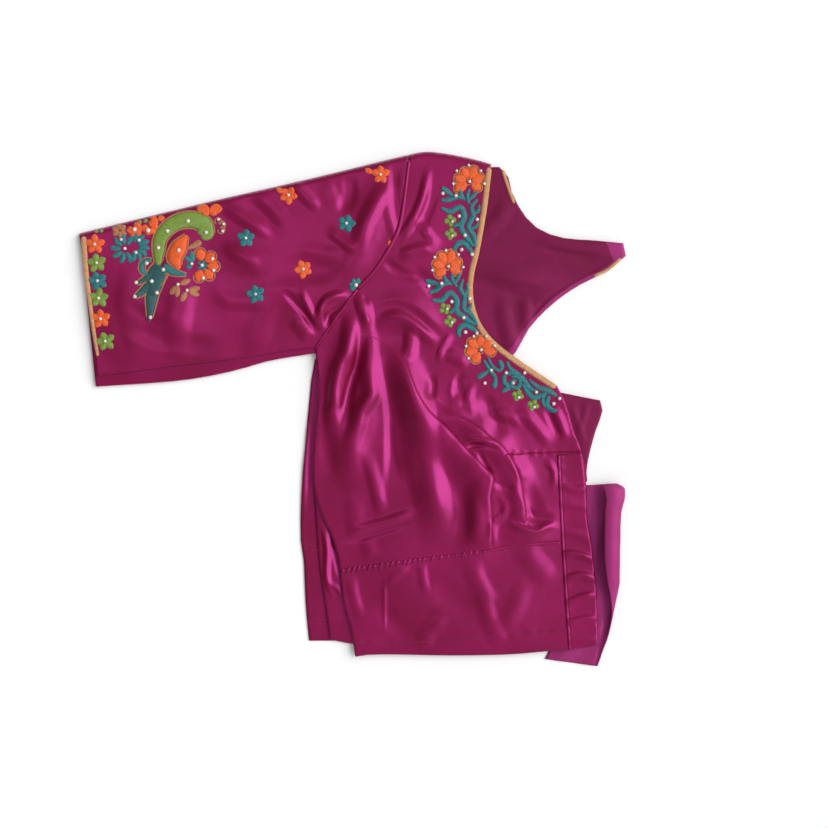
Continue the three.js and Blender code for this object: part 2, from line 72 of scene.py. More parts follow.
# --------------------------------------------------------------- materials
class Nodes:
    """A short way to write a node material."""

    def __init__(self, name):
        self.material = bpy.data.materials.new(name)
        self.material.use_nodes = True
        self.tree = self.material.node_tree
        self.tree.nodes.clear()
        self.shader = self.add("ShaderNodeBsdfPrincipled")
        output = self.add("ShaderNodeOutputMaterial")
        self.link(self.shader.outputs["BSDF"], output.inputs["Surface"])

    def add(self, kind, **inputs):
        node = self.tree.nodes.new(kind)
        for name, value in inputs.items():
            node.inputs[name.replace("_", " ")].default_value = value
        return node

    def link(self, source, target):
        self.tree.links.new(source, target)

    def set(self, **values):
        for name, value in values.items():
            self.shader.inputs[name.replace("_", " ")].default_value = value

    def noise(self, vector, scale, detail=3.0):
        node = self.add("ShaderNodeTexNoise", Scale=scale, Detail=detail)
        self.link(vector, node.inputs["Vector"])
        return node.outputs["Fac"]

    def wave(self, vector, scale, direction, distortion=0.0):
        node = self.add("ShaderNodeTexWave", Scale=scale, Distortion=distortion)
        node.bands_direction = direction
        self.link(vector, node.inputs["Vector"])
        return node.outputs["Fac"]

    def math(self, operation, a, b):
        node = self.tree.nodes.new("ShaderNodeMath")
        node.operation = operation
        for socket, value in zip(node.inputs, (a, b)):
            if isinstance(value, (int, float)):
                socket.default_value = value
            else:
                self.link(value, socket)
        return node.outputs["Value"]

    def ramp(self, fac, *stops):
        node = self.tree.nodes.new("ShaderNodeValToRGB")
        elements = node.color_ramp.elements
        while len(elements) < len(stops):
            elements.new(0.5)
        for element, (position, colour) in zip(elements, stops):
            element.position = position
            element.color = (*colour, 1.0)
        self.link(fac, node.inputs["Fac"])
        return node.outputs["Color"]

    def bump(self, height, strength, distance, under=None):
        node = self.add("ShaderNodeBump", Strength=strength, Distance=distance)
        self.link(height, node.inputs["Height"])
        if under is not None:
            self.link(under, node.inputs["Normal"])
        return node.outputs["Normal"]

    def object_coordinates(self):
        return self.add("ShaderNodeTexCoord").outputs["Object"]

    def uv(self):
        return self.add("ShaderNodeTexCoord").outputs["UV"]


WEAVE_SCALE = 630             # a wave texture at this scale repeats every half millimetre


def woven(name, dark, light, roughness, weave, crumple):
    """Cloth: its colour drifts between two tones, over a fine weave and a faint crumple."""
    m = Nodes(name)
    at = m.object_coordinates()
    drift = m.noise(at, 22.0, 3.0)
    m.link(m.ramp(drift, (0.35, dark), (0.65, light)), m.shader.inputs["Base Color"])
    warp = m.wave(at, WEAVE_SCALE, "X", 1.5)
    weft = m.wave(at, WEAVE_SCALE, "Y", 1.5)
    threads = m.math("MULTIPLY", warp, weft)
    fine = m.bump(threads, weave, 0.00008)
    soft = m.bump(m.noise(at, 110.0, 4.0), crumple, 0.0012, fine)
    m.link(soft, m.shader.inputs["Normal"])
    uneven = m.math("MULTIPLY_ADD", m.noise(at, 60.0, 3.0), 0.12)
    uneven.node.inputs[2].default_value = roughness - 0.06
    m.link(uneven, m.shader.inputs["Roughness"])
    return m


def satin(name, dark, light, roughness=0.33):
    m = woven(name, dark, light, roughness, 0.12, 0.10)
    m.set(IOR=2.0, Specular_IOR_Level=0.62, Specular_Tint=(0.95, 0.11, 0.56, 1.0))
    m.set(Sheen_Weight=0.05, Sheen_Roughness=0.35, Sheen_Tint=(1.0, 0.3, 0.8, 1.0))
    return m.material


def lining(name, dark, light):
    m = woven(name, dark, light, 0.55, 0.5, 0.16)
    m.set(Specular_IOR_Level=0.7, Specular_Tint=(1.0, 0.2, 0.6, 1.0), Sheen_Weight=0.1,
          Sheen_Roughness=0.5)
    m.set(Sheen_Tint=(1.0, 0.3, 0.6, 1.0))
    return m.material


def thread(name, dark, light, metallic=0.0, stitch=1.0):
    """Embroidery thread: rows of small slanted stitches, from the stroke's own UV in millimetres."""
    m = Nodes(name)
    uv = m.uv()
    drift = m.noise(m.object_coordinates(), 420.0, 3.0)
    rows = m.wave(uv, 0.42 * stitch, "DIAGONAL", 2.0)
    mixed = m.math("MULTIPLY_ADD", rows, 0.45)
    m.link(m.math("MULTIPLY", drift, 0.7), mixed.node.inputs[2])
    # The colour follows the stitch rows: darker in the grooves between them, lighter on their crests, as
    # painted shade over the random drift.
    m.link(m.ramp(mixed, (0.2, dark), (0.75, light)), m.shader.inputs["Base Color"])
    m.link(m.bump(rows, 0.6, 0.0003), m.shader.inputs["Normal"])
    m.set(Roughness=0.5, Metallic=metallic, Sheen_Weight=0.3, Sheen_Roughness=0.4)
    m.set(Specular_IOR_Level=0.45)
    return m.material


def pearl(name):
    m = Nodes(name)
    tone = m.noise(m.object_coordinates(), 260.0, 2.0)
    m.link(
        m.ramp(tone, (0.3, (0.56, 0.44, 0.36)), (0.6, (0.76, 0.73, 0.68))),
        m.shader.inputs["Base Color"],
    )
    m.link(m.bump(tone, 0.05, 0.0002), m.shader.inputs["Normal"])
    m.set(Roughness=0.2, Specular_IOR_Level=0.7, Coat_Weight=0.5, Coat_Roughness=0.12)
    return m.material


MATERIALS = {
    "satin": satin("satin", (0.125, 0.001, 0.003), (0.175, 0.003, 0.026)),
    # The lighter plum cloth below is the turned facing's own tone, and also painted light: it lightens
    # the back's tip and the whole left front, standing in for the light that they catch.
    "facing_and_painted_light": satin("facing_and_painted_light", (0.18, 0.016, 0.07), (0.25, 0.028, 0.11), 0.55),
    "lining": lining("lining", (0.12, 0.003, 0.024), (0.165, 0.006, 0.045)),
    "gold_piping": thread("gold_piping", (0.36, 0.13, 0.05), (0.68, 0.37, 0.17), 0.15, 1.6),
    "thread_gold": thread("thread_gold", (0.25, 0.08, 0.03), (0.48, 0.2, 0.09), 0.15, 1.4),
    "thread_orange": thread("thread_orange", (0.5, 0.025, 0.004), (0.85, 0.13, 0.015)),
    "thread_teal": thread("thread_teal", (0.003, 0.06, 0.075), (0.012, 0.21, 0.23)),
    "deep_teal": thread("deep_teal", (0.006, 0.04, 0.045), (0.022, 0.1, 0.105)),
    "thread_green": thread("thread_green", (0.07, 0.13, 0.012), (0.22, 0.34, 0.05)),
    "thread_crimson": thread("thread_crimson", (0.06, 0.002, 0.01), (0.14, 0.006, 0.03)),
    "bead": pearl("bead"),
}


def finish_piece(piece, slot, *nodes):
    """The piece rides on the garment and stands for its CAD nodes, which it hides. slot is not used."""
    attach(piece, "root")
    if nodes:
        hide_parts(*nodes)
    return piece


# ------------------------------------------------------------ line tools
def smooth(t):
    t = np.clip(t, 0.0, 1.0)
    return t * t * (3.0 - 2.0 * t)


def walked_along(line):
    """How far along a polyline each of its points is."""
    return np.concatenate([[0], np.cumsum(np.linalg.norm(np.diff(line, axis=0), axis=1))])


def left_of(line):
    """The direction to the left of a line at each of its points."""
    tangent = np.gradient(line, axis=0)
    tangent /= np.maximum(np.linalg.norm(tangent, axis=1), 1e-9)[:, None]
    return np.stack([-tangent[:, 1], tangent[:, 0]], 1)


def widths_along(line, widths):
    """The width at each point of a line, from a few widths spread evenly over it."""
    return np.interp(np.linspace(0, 1, len(line)), np.linspace(0, 1, len(widths)), widths)


def point_at(distance, line, along):
    return np.stack([np.interp(distance, along, line[:, k]) for k in (0, 1)], -1)


def resample(line, step, closed=False):
    """Points at even steps of about the given length along a polyline."""
    line = np.asarray(line, float)
    if closed:
        line = np.vstack([line, line[:1]])
    along = walked_along(line)
    count = max(2, int(round(along[-1] / step)))
    at = np.linspace(0, along[-1], count + 1)
    if closed:
        at = at[:-1]
    return np.stack([np.interp(at, along, line[:, k]) for k in range(line.shape[1])], 1)


def curve(points, step=1.0):
    """A smooth line through given points, sampled at even steps."""
    p = np.asarray(points, float)
    if len(p) < 3:
        return resample(p, step)
    ends = np.vstack([2 * p[0] - p[1], p, 2 * p[-1] - p[-2]])
    t = np.linspace(0, 1, 13)[:-1, None]
    parts = []
    for a, b, c, d in zip(ends, ends[1:], ends[2:], ends[3:]):
        parts.append(0.5 * (2 * b + (c - a) * t + (2 * a - 5 * b + 4 * c - d) * t**2
                            + (3 * b - a - 3 * c + d) * t**3))
    return resample(np.vstack([*parts, p[-1:]]), step)


Nearest = namedtuple("Nearest", "offset along normal")


def nearest_on(xy, line):
    """Where each point is, seen from a line: its signed offset (left is positive), how far along
    the line it is in length, and the line's left-hand direction there."""
    best = np.full(len(xy), np.inf)
    offset = np.zeros(len(xy))
    along = np.zeros(len(xy))
    normal = np.zeros((len(xy), 2))
    walked = 0.0
    for a, b in zip(line, line[1:]):
        ab = b - a
        length = np.hypot(*ab)
        t = np.clip(((xy - a) @ ab) / length**2, 0, 1)
        away = xy - a - t[:, None] * ab
        distance = np.hypot(away[:, 0], away[:, 1])
        closer = distance < best
        best[closer] = distance[closer]
        side = np.sign(ab[0] * away[:, 1] - ab[1] * away[:, 0])
        offset[closer] = (distance * side)[closer]
        along[closer] = (walked + t * length)[closer]
        normal[closer] = (-ab[1] / length, ab[0] / length)
        walked += length
    return Nearest(offset, along, normal)


def inside(xy, loop):
    """Which points lie inside a closed loop."""
    result = np.zeros(len(xy), bool)
    for a, b in zip(loop, np.roll(loop, -1, 0)):
        crosses = (a[1] > xy[:, 1]) != (b[1] > xy[:, 1])
        if crosses.any():
            x = a[0] + (xy[crosses, 1] - a[1]) / (b[1] - a[1]) * (b[0] - a[0])
            result[crosses] ^= xy[crosses, 0] < x
    return result


# -------------------------------------------------------------- CAD nodes
FACING_UP = 0.02


def top_loop(node):
    """The edge of a CAD solid's upper side, as points in order, in millimetres."""
    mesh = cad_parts[node].data
    corners = {}
    followers = {}
    for face in mesh.polygons:
        if face.normal.z < FACING_UP:
            continue
        keys = []
        for v in face.vertices:
            co = mesh.vertices[v].co
            key = (round(co.x * 1e5), round(co.y * 1e5))
            corners[key] = (co.x / MM, co.y / MM, co.z / MM)
            keys.append(key)
        for a, b in zip(keys, keys[1:] + keys[:1]):
            followers.setdefault(a, set()).add(b)
    rim = {a: b for a, bs in followers.items() for b in bs if a not in followers.get(b, ())}
    loops = []
    while rim:
        start, at = rim.popitem()
        loop = [start]
        while at != start and at in rim:
            loop.append(at)
            at = rim.pop(at)
        loops.append(loop)
    return np.array([corners[k] for k in max(loops, key=len)])


class Relief:
    """The upper side of a CAD solid as a smooth height over the table, in millimetres."""

    PITCH = 2.0
    MARGIN = 12.0

    def __init__(self, node, rolled=None, passes=3):
        low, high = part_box(node)
        self.low = np.array([low.x, low.y]) / MM - self.MARGIN
        size = (np.array([high.x, high.y]) / MM + self.MARGIN - self.low) / self.PITCH
        self.shape = np.ceil(size).astype(int) + 1
        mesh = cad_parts[node].data
        tree = BVHTree.FromPolygons(
            [v.co for v in mesh.vertices], [tuple(p.vertices) for p in mesh.polygons]
        )
        heights = np.full(self.shape, np.nan)
        down = Vector((0, 0, -1))
        for i in range(self.shape[0]):
            for j in range(self.shape[1]):
                x, y = self.low + np.array([i, j]) * self.PITCH
                hit = tree.ray_cast(Vector((x * MM, y * MM, 0.1)), down)[0]
                if hit is not None:
                    heights[i, j] = hit.z / MM
        if rolled is not None:
            i, j = np.meshgrid(*map(np.arange, self.shape), indexing="ij")
            xy = self.low + np.stack([i.ravel(), j.ravel()], 1) * self.PITCH
            near = np.abs(nearest_on(xy, rolled).offset) < ROLL + self.PITCH
            heights[near.reshape(self.shape)] = np.nan
        self.heights = self.blurred(self.filled(heights), passes)

    @staticmethod
    def filled(heights):
        """Spreads the known heights outwards until the whole grid has one."""
        while np.isnan(heights).any():
            padded = np.pad(heights, 1, constant_values=np.nan)
            around = np.stack([padded[1 + a:padded.shape[0] - 1 + a, 1 + b:padded.shape[1] - 1 + b]
                               for a, b in ((1, 0), (-1, 0), (0, 1), (0, -1))])
            known = ~np.isnan(around)
            total = np.where(known, around, 0).sum(0)
            count = known.sum(0)
            mean = total / np.maximum(count, 1)
            heights = np.where(np.isnan(heights) & (count > 0), mean, heights)
        return heights

    @staticmethod
    def blurred(heights, passes):
        for _ in range(passes):
            for axis in (0, 1):
                pad = [(2, 2) if a == axis else (0, 0) for a in (0, 1)]
                padded = np.pad(heights, pad, mode="edge")
                n = heights.shape[axis]
                heights = sum(np.take(padded, range(k, k + n), axis) for k in range(5)) / 5
        return heights

    def __call__(self, xy):
        at = (xy - self.low) / self.PITCH
        at = np.clip(at, 0, self.shape - 1.001)
        i, j = at.astype(int).T
        u, v = (at - at.astype(int)).T
        h = self.heights
        return ((1 - u) * (1 - v) * h[i, j] + u * (1 - v) * h[i + 1, j]
                + (1 - u) * v * h[i, j + 1] + u * v * h[i + 1, j + 1])


# ------------------------------------------------------------------ cloth
# A crease is a soft ridge, or a trough where its height is negative. Seen along its run, it
# falls away over `front` on the left and over `back` on the right.
Crease = namedtuple("Crease", "height back front run")
# A pleat is a ridge whose front side folds over and under itself.
Pleat = namedtuple("Pleat", "height back run")
# A seam is a narrow groove, with puckers of its own pitch on both sides.
Seam = namedtuple("Seam", "depth pucker pitch run")

ROLL = 5.0                 # radius of the fold along sleeve and shoulder
LIP_AT = (-2.0, -1.0, -0.4, 0.0, 0.4, 0.8, 1.2, 1.7, 2.6)
LIP_SHIFT = (0.0, 0.2, 0.6, 1.1, 1.3, 0.8, 0.1, 0.0, 0.0)
LIP_HEIGHT = (1.0, 0.98, 0.9, 0.72, 0.4, 0.12, -0.08, -0.06, 0.0)
SEAM_ROWS = (-2.0, -1.3, -0.8, -0.4, 0.0, 0.4, 0.8, 1.3, 2.0)
TABLE = 0.05               # nothing lies lower than this
LEAST_WALL = 0.2
FOLD_REACH = 40            # no fold is wider than this
WAVE_LENGTH = 28           # of the faint waves all over a panel
CREASE_FADE = 0.36         # the share of a crease over which it comes and goes
PLEAT_FADE = 0.3
PLEAT_FOOT = 11            # a pleat flattens this far before the seam that holds it
GROOVE = 0.45
PUCKER_REACH = 2.2


class Surface:
    """The upper side of one panel: the solid's relief, with folds, seams and turned edges."""

    def __init__(self, relief, folds=(), rolled=None, waves=0.35):
        self.relief = relief
        self.rolled = rolled
        self.waves = waves
        self.folds = [(fold, curve(fold.run, 2.0)) for fold in folds]

    def sharp_rows(self):
        """Points where the mesh has to be finer: beside pleats and seams."""
        rows = []
        for fold, line in self.folds:
            if isinstance(fold, Crease):
                continue
            fine = resample(line, 1.0)
            normal = left_of(fine)
            offsets = LIP_AT if isinstance(fold, Pleat) else SEAM_ROWS
            rows += [fine + normal * offset for offset in offsets]
        return np.vstack(rows) if rows else np.zeros((0, 2))

    def __call__(self, xy, shifted=False):
        """The height at each point, and with shifted also where a pleat's lip moves it."""
        waves = [noise.noise(Vector((x / WAVE_LENGTH, y / WAVE_LENGTH, 3.1))) for x, y in xy]
        z = self.relief(xy) + self.waves * np.array(waves)
        shift = np.zeros_like(xy)
        for fold, line in self.folds:
            low, high = line.min(0) - FOLD_REACH, line.max(0) + FOLD_REACH
            near = ((xy > low) & (xy < high)).all(1)
            if not near.any():
                continue
            offset, along, normal = nearest_on(xy[near], line)
            length = walked_along(line)[-1]
            if isinstance(fold, Crease):
                ends = CREASE_FADE * length
                fade = smooth(along / ends) * smooth((length - along) / ends)
                t = np.clip(np.abs(offset) / np.where(offset > 0, fold.front, fold.back), 0, 1)
                z[near] += fold.height * fade * (1 - t * t) ** 2
            elif isinstance(fold, Pleat):
                fade = smooth(along / (PLEAT_FADE * length)) * smooth((length - along) / PLEAT_FOOT)
                t = np.clip(np.abs(offset) / fold.back, 0, 1)
                flank = (1 - t * t) ** 2
                lip = np.interp(offset, LIP_AT, LIP_HEIGHT)
                rise = np.where(offset < 0, flank * np.maximum(lip, 0.72), lip)
                z[near] += fold.height * fade * rise
                move = np.interp(offset, LIP_AT, LIP_SHIFT) * fade
                shift[near] += normal * move[:, None]
            else:
                groove = np.exp(-(offset / GROOVE) ** 2) * fold.depth
                phase = along / fold.pitch * 2 * math.pi
                wobble = 1.5 * np.sin(along / 11) + 0.8 * np.sin(along / 4.7)
                strength = 0.55 + 0.45 * np.sin(along / 17 + 1)
                pucker = fold.pucker * strength * (0.5 + 0.5 * np.sin(phase + wobble))
                z[near] += pucker * np.exp(-(offset / PUCKER_REACH) ** 2) - groove
        if self.rolled is not None:
            d = np.clip(np.abs(nearest_on(xy, self.rolled).offset), 0, ROLL)
            z -= ROLL - np.sqrt(np.maximum(ROLL**2 - (ROLL - d) ** 2, 0))
        return (z, shift) if shifted else z


ROW_PITCH = 0.866          # rows of even triangles


def triangulated(loop, spacing, extra):
    """Points and triangles that fill a loop: an even net, finer where extra points ask for it."""
    edge = resample(loop, spacing, closed=True)
    rim = KDTree(len(edge) * 3)
    for k, (x, y) in enumerate(resample(edge, spacing / 3, closed=True)[:len(edge) * 3]):
        rim.insert((x, y, 0), k)
    rim.balance()
    low, high = edge.min(0), edge.max(0)
    rows = np.arange(low[1], high[1], spacing * ROW_PITCH)
    columns = [np.arange(low[0] + (k % 2) * spacing / 2, high[0], spacing) for k in range(len(rows))]
    net = np.vstack([np.stack([xs, np.full(len(xs), y)], 1) for xs, y in zip(columns, rows)])
    if len(extra):
        sharp = KDTree(len(extra))
        for k, (x, y) in enumerate(extra):
            sharp.insert((x, y, 0), k)
        sharp.balance()
        net = net[[sharp.find((x, y, 0))[2] > 0.75 * spacing for x, y in net]]
        net = np.vstack([net, extra])
    net = net[inside(net, edge)]
    net = net[[rim.find((x, y, 0))[2] > 0.6 * spacing for x, y in net]]
    points = [Vector(p) for p in edge] + [Vector(p) for p in net]
    found = delaunay_2d_cdt(points, [], [list(range(len(edge)))], 1, 1e-4)
    xy = np.array([(v.x, v.y) for v in found[0]])
    rim_distance = np.array([rim.find((x, y, 0))[2] for x, y in xy])
    return xy, [tuple(f) for f in found[2]], rim_distance


def mesh_piece(name, vertices, faces, materials, uv=None):
    mesh = bpy.data.meshes.new(name)
    mesh.from_pydata([tuple(v) for v in np.asarray(vertices) * MM], [], faces)
    for material in materials:
        mesh.materials.append(material)
    mesh.shade_smooth()
    if uv is not None:
        layer = mesh.uv_layers.new(name="stitches")
        corner = np.zeros(len(mesh.loops), int)
        mesh.loops.foreach_get("vertex_index", corner)
        layer.data.foreach_set("uv", np.asarray(uv)[corner].ravel())
    mesh.update()
    piece = bpy.data.objects.new(name, mesh)
    bpy.context.scene.collection.objects.link(piece)
    return piece


def vertex_normals(vertices, faces):
    corners = vertices[np.array(faces)]
    cross = np.cross(corners[:, 1] - corners[:, 0], corners[:, 2] - corners[:, 0])
    normals = np.zeros_like(vertices)
    for k in range(3):
        np.add.at(normals, np.array(faces)[:, k], cross)
    return normals / np.maximum(np.linalg.norm(normals, axis=1), 1e-9)[:, None]


def cloth(name, node, surface, slot, spacing=1.4, thickness=0.5, edge=(0.5, 1.0), patches=()):
    """A thin closed shell of cloth inside the outline of its CAD solid. Its edge is rounded down
    by edge = (depth, width). patches are (material, function of xy that says which faces)."""
    xy, faces, rim_distance = triangulated(top_loop(node)[:, :2], spacing, surface.sharp_rows())
    z, shift = surface(xy, shifted=True)
    depth, width = edge
    t = np.clip(1 - rim_distance / width, 0, 1)
    z -= depth * (1 - np.sqrt(1 - t * t * 0.999))
    top = np.column_stack([xy + shift, np.maximum(z, TABLE + LEAST_WALL)])
    normals = vertex_normals(top, faces)
    bottom = top - normals * thickness
    bottom[:, 2] = np.maximum(bottom[:, 2], TABLE)
    count = len(top)
    directed = {(f[k], f[(k + 1) % 3]) for f in faces for k in range(3)}
    rim = [(a, b) for a, b in directed if (b, a) not in directed]
    all_faces = list(faces)
    all_faces += [(c + count, b + count, a + count) for a, b, c in faces]
    all_faces += [(a, a + count, b + count, b) for a, b in sorted(rim)]
    materials = [MATERIALS[slot]] + [MATERIALS[m] for m, _ in patches]
    piece = mesh_piece(name, np.vstack([top, bottom]), all_faces, materials)
    for k, (_, chosen) in enumerate(patches):
        centres = xy[np.array(faces)].mean(1)
        for index in np.nonzero(chosen(centres))[0]:
            piece.data.polygons[int(index)].material_index = k + 1
    return finish_piece(piece, slot, node)


# ------------------------------------------------------------------ folds
ARMHOLE = [(45, 193), (39, 148), (32, 129), (19, 108), (5, 93), (-10, 73), (-28, 47)]

FRONT_FOLDS = [
    Pleat(3.4, 26, [(6, 61), (23, 51), (39, 37), (49, 14), (59, -2), (74, -17), (88, -32),
                    (101, -45), (108, -53), (106, -68), (107, -80), (107, -113)]),
    Pleat(3.0, 15, [(62, 12), (71, 2), (82, -6), (94, -13), (106, -22), (116, -30), (122, -38),
                    (127, -49), (131, -62), (133, -75), (135, -91)]),
    # the drape below the underarm
    Crease(3.8, 8, 8, [(0, 84), (-2, 60), (-4, 44), (-9, 34), (-13, 18), (-14, 6), (-16, -4),
                       (-15, -30)]),
    Crease(-3.0, 5, 7, [(6, 70), (7, 54), (5, 38), (0, 24), (-4, 8), (-7, -16)]),
    Crease(3.4, 9, 8, [(12, 62), (12, 36), (14, 20), (15, 10), (7, -2), (4, -14), (-4, -40)]),
    Crease(-2.8, 7, 20, [(17, 84), (21, 60), (25, 34), (30, 6), (31, -30), (28, -76)]),
    Crease(1.3, 9, 12, [(34, 2), (38, -30), (46, -60)]),
    # the arch over the bust, and the ridge under it
    Crease(-1.6, 5, 7, [(14, 74), (34, 79), (47, 74), (59, 64), (72, 55)]),
    Crease(2.2, 7, 6, [(16, 66), (34, 71), (48, 65), (62, 54), (70, 49)]),
    Crease(2.4, 8, 7, [(45, 66), (46, 52), (44, 36)]),
    Crease(-1.6, 6, 6, [(60, 28), (62, 18), (59, 6)]),
    # the long soft ridge down the cup
    Crease(3.7, 18, 15, [(38, 52), (48, 14), (53, -10), (55, -32), (59, -52), (64, -74), (72, -120)]),
    # between the pleats
    Crease(-1.8, 3, 3, [(86, -31), (96, -28), (106, -29), (116, -33)]),
    Crease(1.6, 5, 4, [(84, -24), (98, -24), (114, -29)]),
    Crease(-1.4, 3, 3, [(96, -31), (103, -43), (110, -54)]),
    Crease(1.6, 4, 5, [(112, -64), (118, -74), (117, -82), (109, -89), (109, -108)]),
    Crease(-1.2, 4, 4, [(108, -56), (118, -60), (128, -61)]),
    # across, above the waistband
    Crease(2.6, 5, 4, [(118, -87), (130, -92), (142, -95), (152, -91), (162, -90)]),
    Crease(-1.8, 6, 6, [(132, -76), (142, -85), (158, -84)]),
    Crease(2.0, 4, 6, [(-8, -97), (12, -92), (36, -85), (56, -76)]),
    Crease(-1.1, 5, 3, [(-14, -104), (8, -99), (32, -92), (52, -86)]),
    Crease(1.4, 6, 8, [(10, -30), (18, -62), (24, -88)]),
    Crease(0.8, 8, 8, [(10, -98), (16, -118)]),
    # above the front dart
    Crease(2.0, 7, 7, [(128, 4), (138, -8), (148, -20), (156, -30)]),
    Crease(-1.5, 9, 8, [(99, 14), (106, 2), (112, -12), (116, -26)]),
    Crease(1.6, 7, 6, [(76, 22), (80, 10), (84, 0)]),
    Crease(1.5, 5, 5, [(155, 4), (162, -10), (167, -26)]),
    Crease(-1.2, 4, 4, [(150, 2), (156, -12), (162, -24)]),
    Crease(1.6, 6, 9, [(104, -4), (122, -6), (134, -14)]),
    # below the dart
    Crease(1.8, 7, 10, [(118, -34), (128, -44), (136, -58)]),
    Crease(1.2, 4, 4, [(150, -38), (157, -50), (155, -62)]),
    Crease(-1.8, 5, 12, [(128, -52), (134, -66), (140, -80), (146, -96)]),
    # by the armhole and the shoulder
    Crease(2.2, 5, 5, [(60, 192), (54, 162), (42, 138), (34, 126)]),
    Crease(-1.4, 6, 7, [(66, 176), (58, 152), (48, 132)]),
    Crease(2.0, 7, 7, [(33, 117), (50, 123), (68, 126)]),
    Crease(1.5, 5, 6, [(10, 88), (12, 76), (14, 62)]),
    Crease(2.4, 6, 5, [(4, 92), (8, 76), (12, 66), (13, 58)]),
    Crease(-1.5, 6, 8, [(44, 110), (60, 96), (66, 84)]),
    Crease(1.4, 8, 8, [(70, 44), (82, 40), (92, 34)]),
    Crease(1.3, 4, 5, [(78, 60), (70, 48), (66, 34)]),
    Crease(-1.4, 4, 7, [(86, 30), (80, 14), (84, 2)]),
    Crease(1.2, 5, 6, [(94, 22), (90, 8), (96, -6)]),
    Crease(-1.2, 5, 6, [(22, 118), (36, 106), (54, 100)]),
    Crease(1.2, 6, 6, [(50, 152), (58, 136), (70, 124)]),
    Crease(-1.0, 8, 10, [(-18, 20), (-20, -20), (-18, -60)]),
    Crease(1.0, 10, 10, [(4, -62), (2, -84), (8, -104)]),
    Crease(-1.2, 8, 8, [(84, -58), (88, -80), (84, -102)]),
    Crease(1.3, 8, 8, [(92, -66), (96, -86), (94, -108)]),
    Seam(0.9, 0.5, 7, [(119, -35), (136, -34.6), (156, -33.8), (181, -33)]),
]

SLEEVE_FOLDS = [
    Crease(1.3, 12, 9, [(-78, 172), (-62, 160), (-48, 142)]),
    Crease(-1.2, 9, 9, [(-90, 168), (-72, 152), (-52, 130)]),
    Crease(1.2, 10, 8, [(-24, 182), (-16, 164), (-14, 146)]),
    Crease(-1.2, 8, 8, [(-4, 186), (-2, 168), (-8, 150)]),
    Crease(1.0, 9, 9, [(-112, 92), (-92, 84), (-62, 84)]),
    Crease(1.1, 9, 9, [(-44, 128), (-24, 120), (-6, 118)]),
    Crease(0.9, 10, 10, [(-176, 96), (-150, 74), (-122, 64)]),
    Crease(-0.9, 10, 10, [(-186, 70), (-150, 54), (-100, 48)]),
    Crease(-1.2, 6, 6, [(33, 196), (33, 170), (34, 144)]),
    Crease(2.0, 9, 8, [(30, 180), (18, 158), (9, 140), (4, 118)]),
    Crease(1.0, 5, 5, [(28, 160), (30, 146), (34, 130)]),
    Crease(1.8, 8, 7, [(-50, 180), (-36, 166), (-22, 152)]),
    Crease(1.4, 6, 6, [(-22, 142), (-8, 131), (6, 120)]),
    Crease(2.0, 9, 7, [(-104, 162), (-84, 149), (-58, 132)]),
    Crease(1.3, 8, 7, [(-104, 128), (-86, 119), (-68, 106)]),
    Crease(-1.5, 14, 16, [(-118, 108), (-70, 104), (-20, 108), (14, 108)]),
    Crease(2.0, 4, 4, [(-41, 94), (-34, 79), (-27, 64)]),
    Crease(-2.2, 4, 4, [(-56, 94), (-44, 82), (-35, 71), (-25, 56)]),
    Crease(3.4, 5, 5, [(-25, 62), (-25, 74), (-20, 84), (-10, 88), (0, 88)]),
    Crease(-2.4, 4, 4, [(-19, 60), (-18, 72), (-10, 79), (-2, 81)]),
    Crease(1.6, 8, 8, [(-48, 72), (-38, 62), (-32, 52)]),
    Crease(1.0, 14, 14, [(-58, 100), (-70, 68), (-82, 34)]),
    Crease(1.1, 14, 12, [(-126, 104), (-134, 70), (-133, 30)]),
    Crease(-0.9, 16, 18, [(-112, 160), (-118, 110), (-106, 46)]),
    Crease(0.9, 12, 12, [(-168, 120), (-174, 80), (-162, 36)]),
]

BAND_FOLDS = [
    Crease(0.9, 6, 6, [(-1, -125), (1, -144), (8, -166)]),
    Crease(1.0, 5, 5, [(46, -119), (36, -128), (24, -138)]),
    Crease(0.8, 5, 5, [(54, -116), (55, -130), (58, -146)]),
    Crease(0.7, 2, 2, [(25, -128), (25, -148), (25, -176)]),
    Crease(1.2, 9, 9, [(54, -190), (59, -174), (76, -158)]),
    Crease(1.2, 11, 9, [(92, -112), (98, -134), (112, -156)]),
    Crease(1.2, 9, 9, [(100, -140), (106, -162), (118, -188)]),
    Crease(1.1, 12, 12, [(128, -104), (144, -122), (158, -138)]),
    Crease(-1.0, 14, 14, [(60, -138), (84, -150), (96, -160)]),
    Crease(0.9, 10, 10, [(134, -130), (128, -152), (112, -178)]),
    Crease(-0.8, 10, 10, [(20, -150), (34, -168), (52, -176)]),
    Seam(0.5, 0.35, 13, [(4, -181), (40, -181.5), (84, -179), (120, -176), (146, -173),
                         (168, -172), (190, -171)]),
]

# The placket lies on the panels under it, so it has ridges and no troughs.
PLACKET_FOLDS = [
    Crease(0.9, 5, 4, [(158, -58), (172, -62), (188, -60)]),
    Crease(0.7, 5, 6, [(158, -74), (174, -75), (190, -79)]),
    Crease(0.6, 6, 5, [(158, -96), (174, -97), (192, -104)]),
    Crease(2.0, 5, 3, [(158, -113), (174, -112), (192, -118)]),
    Crease(1.8, 5, 4, [(160, -134), (178, -129), (194, -134)]),
    Crease(1.7, 5, 4, [(162, -154), (178, -146), (194, -143)]),
    Crease(1.4, 4, 4, [(162, -168), (180, -163), (196, -162)]),
    Crease(0.6, 4, 4, [(162, -182), (180, -179), (196, -178)]),
    Seam(0.25, 0.25, 9, [(161.5, -36), (163.5, -77), (165.5, -116), (168.5, -163), (170.5, -190)]),
]

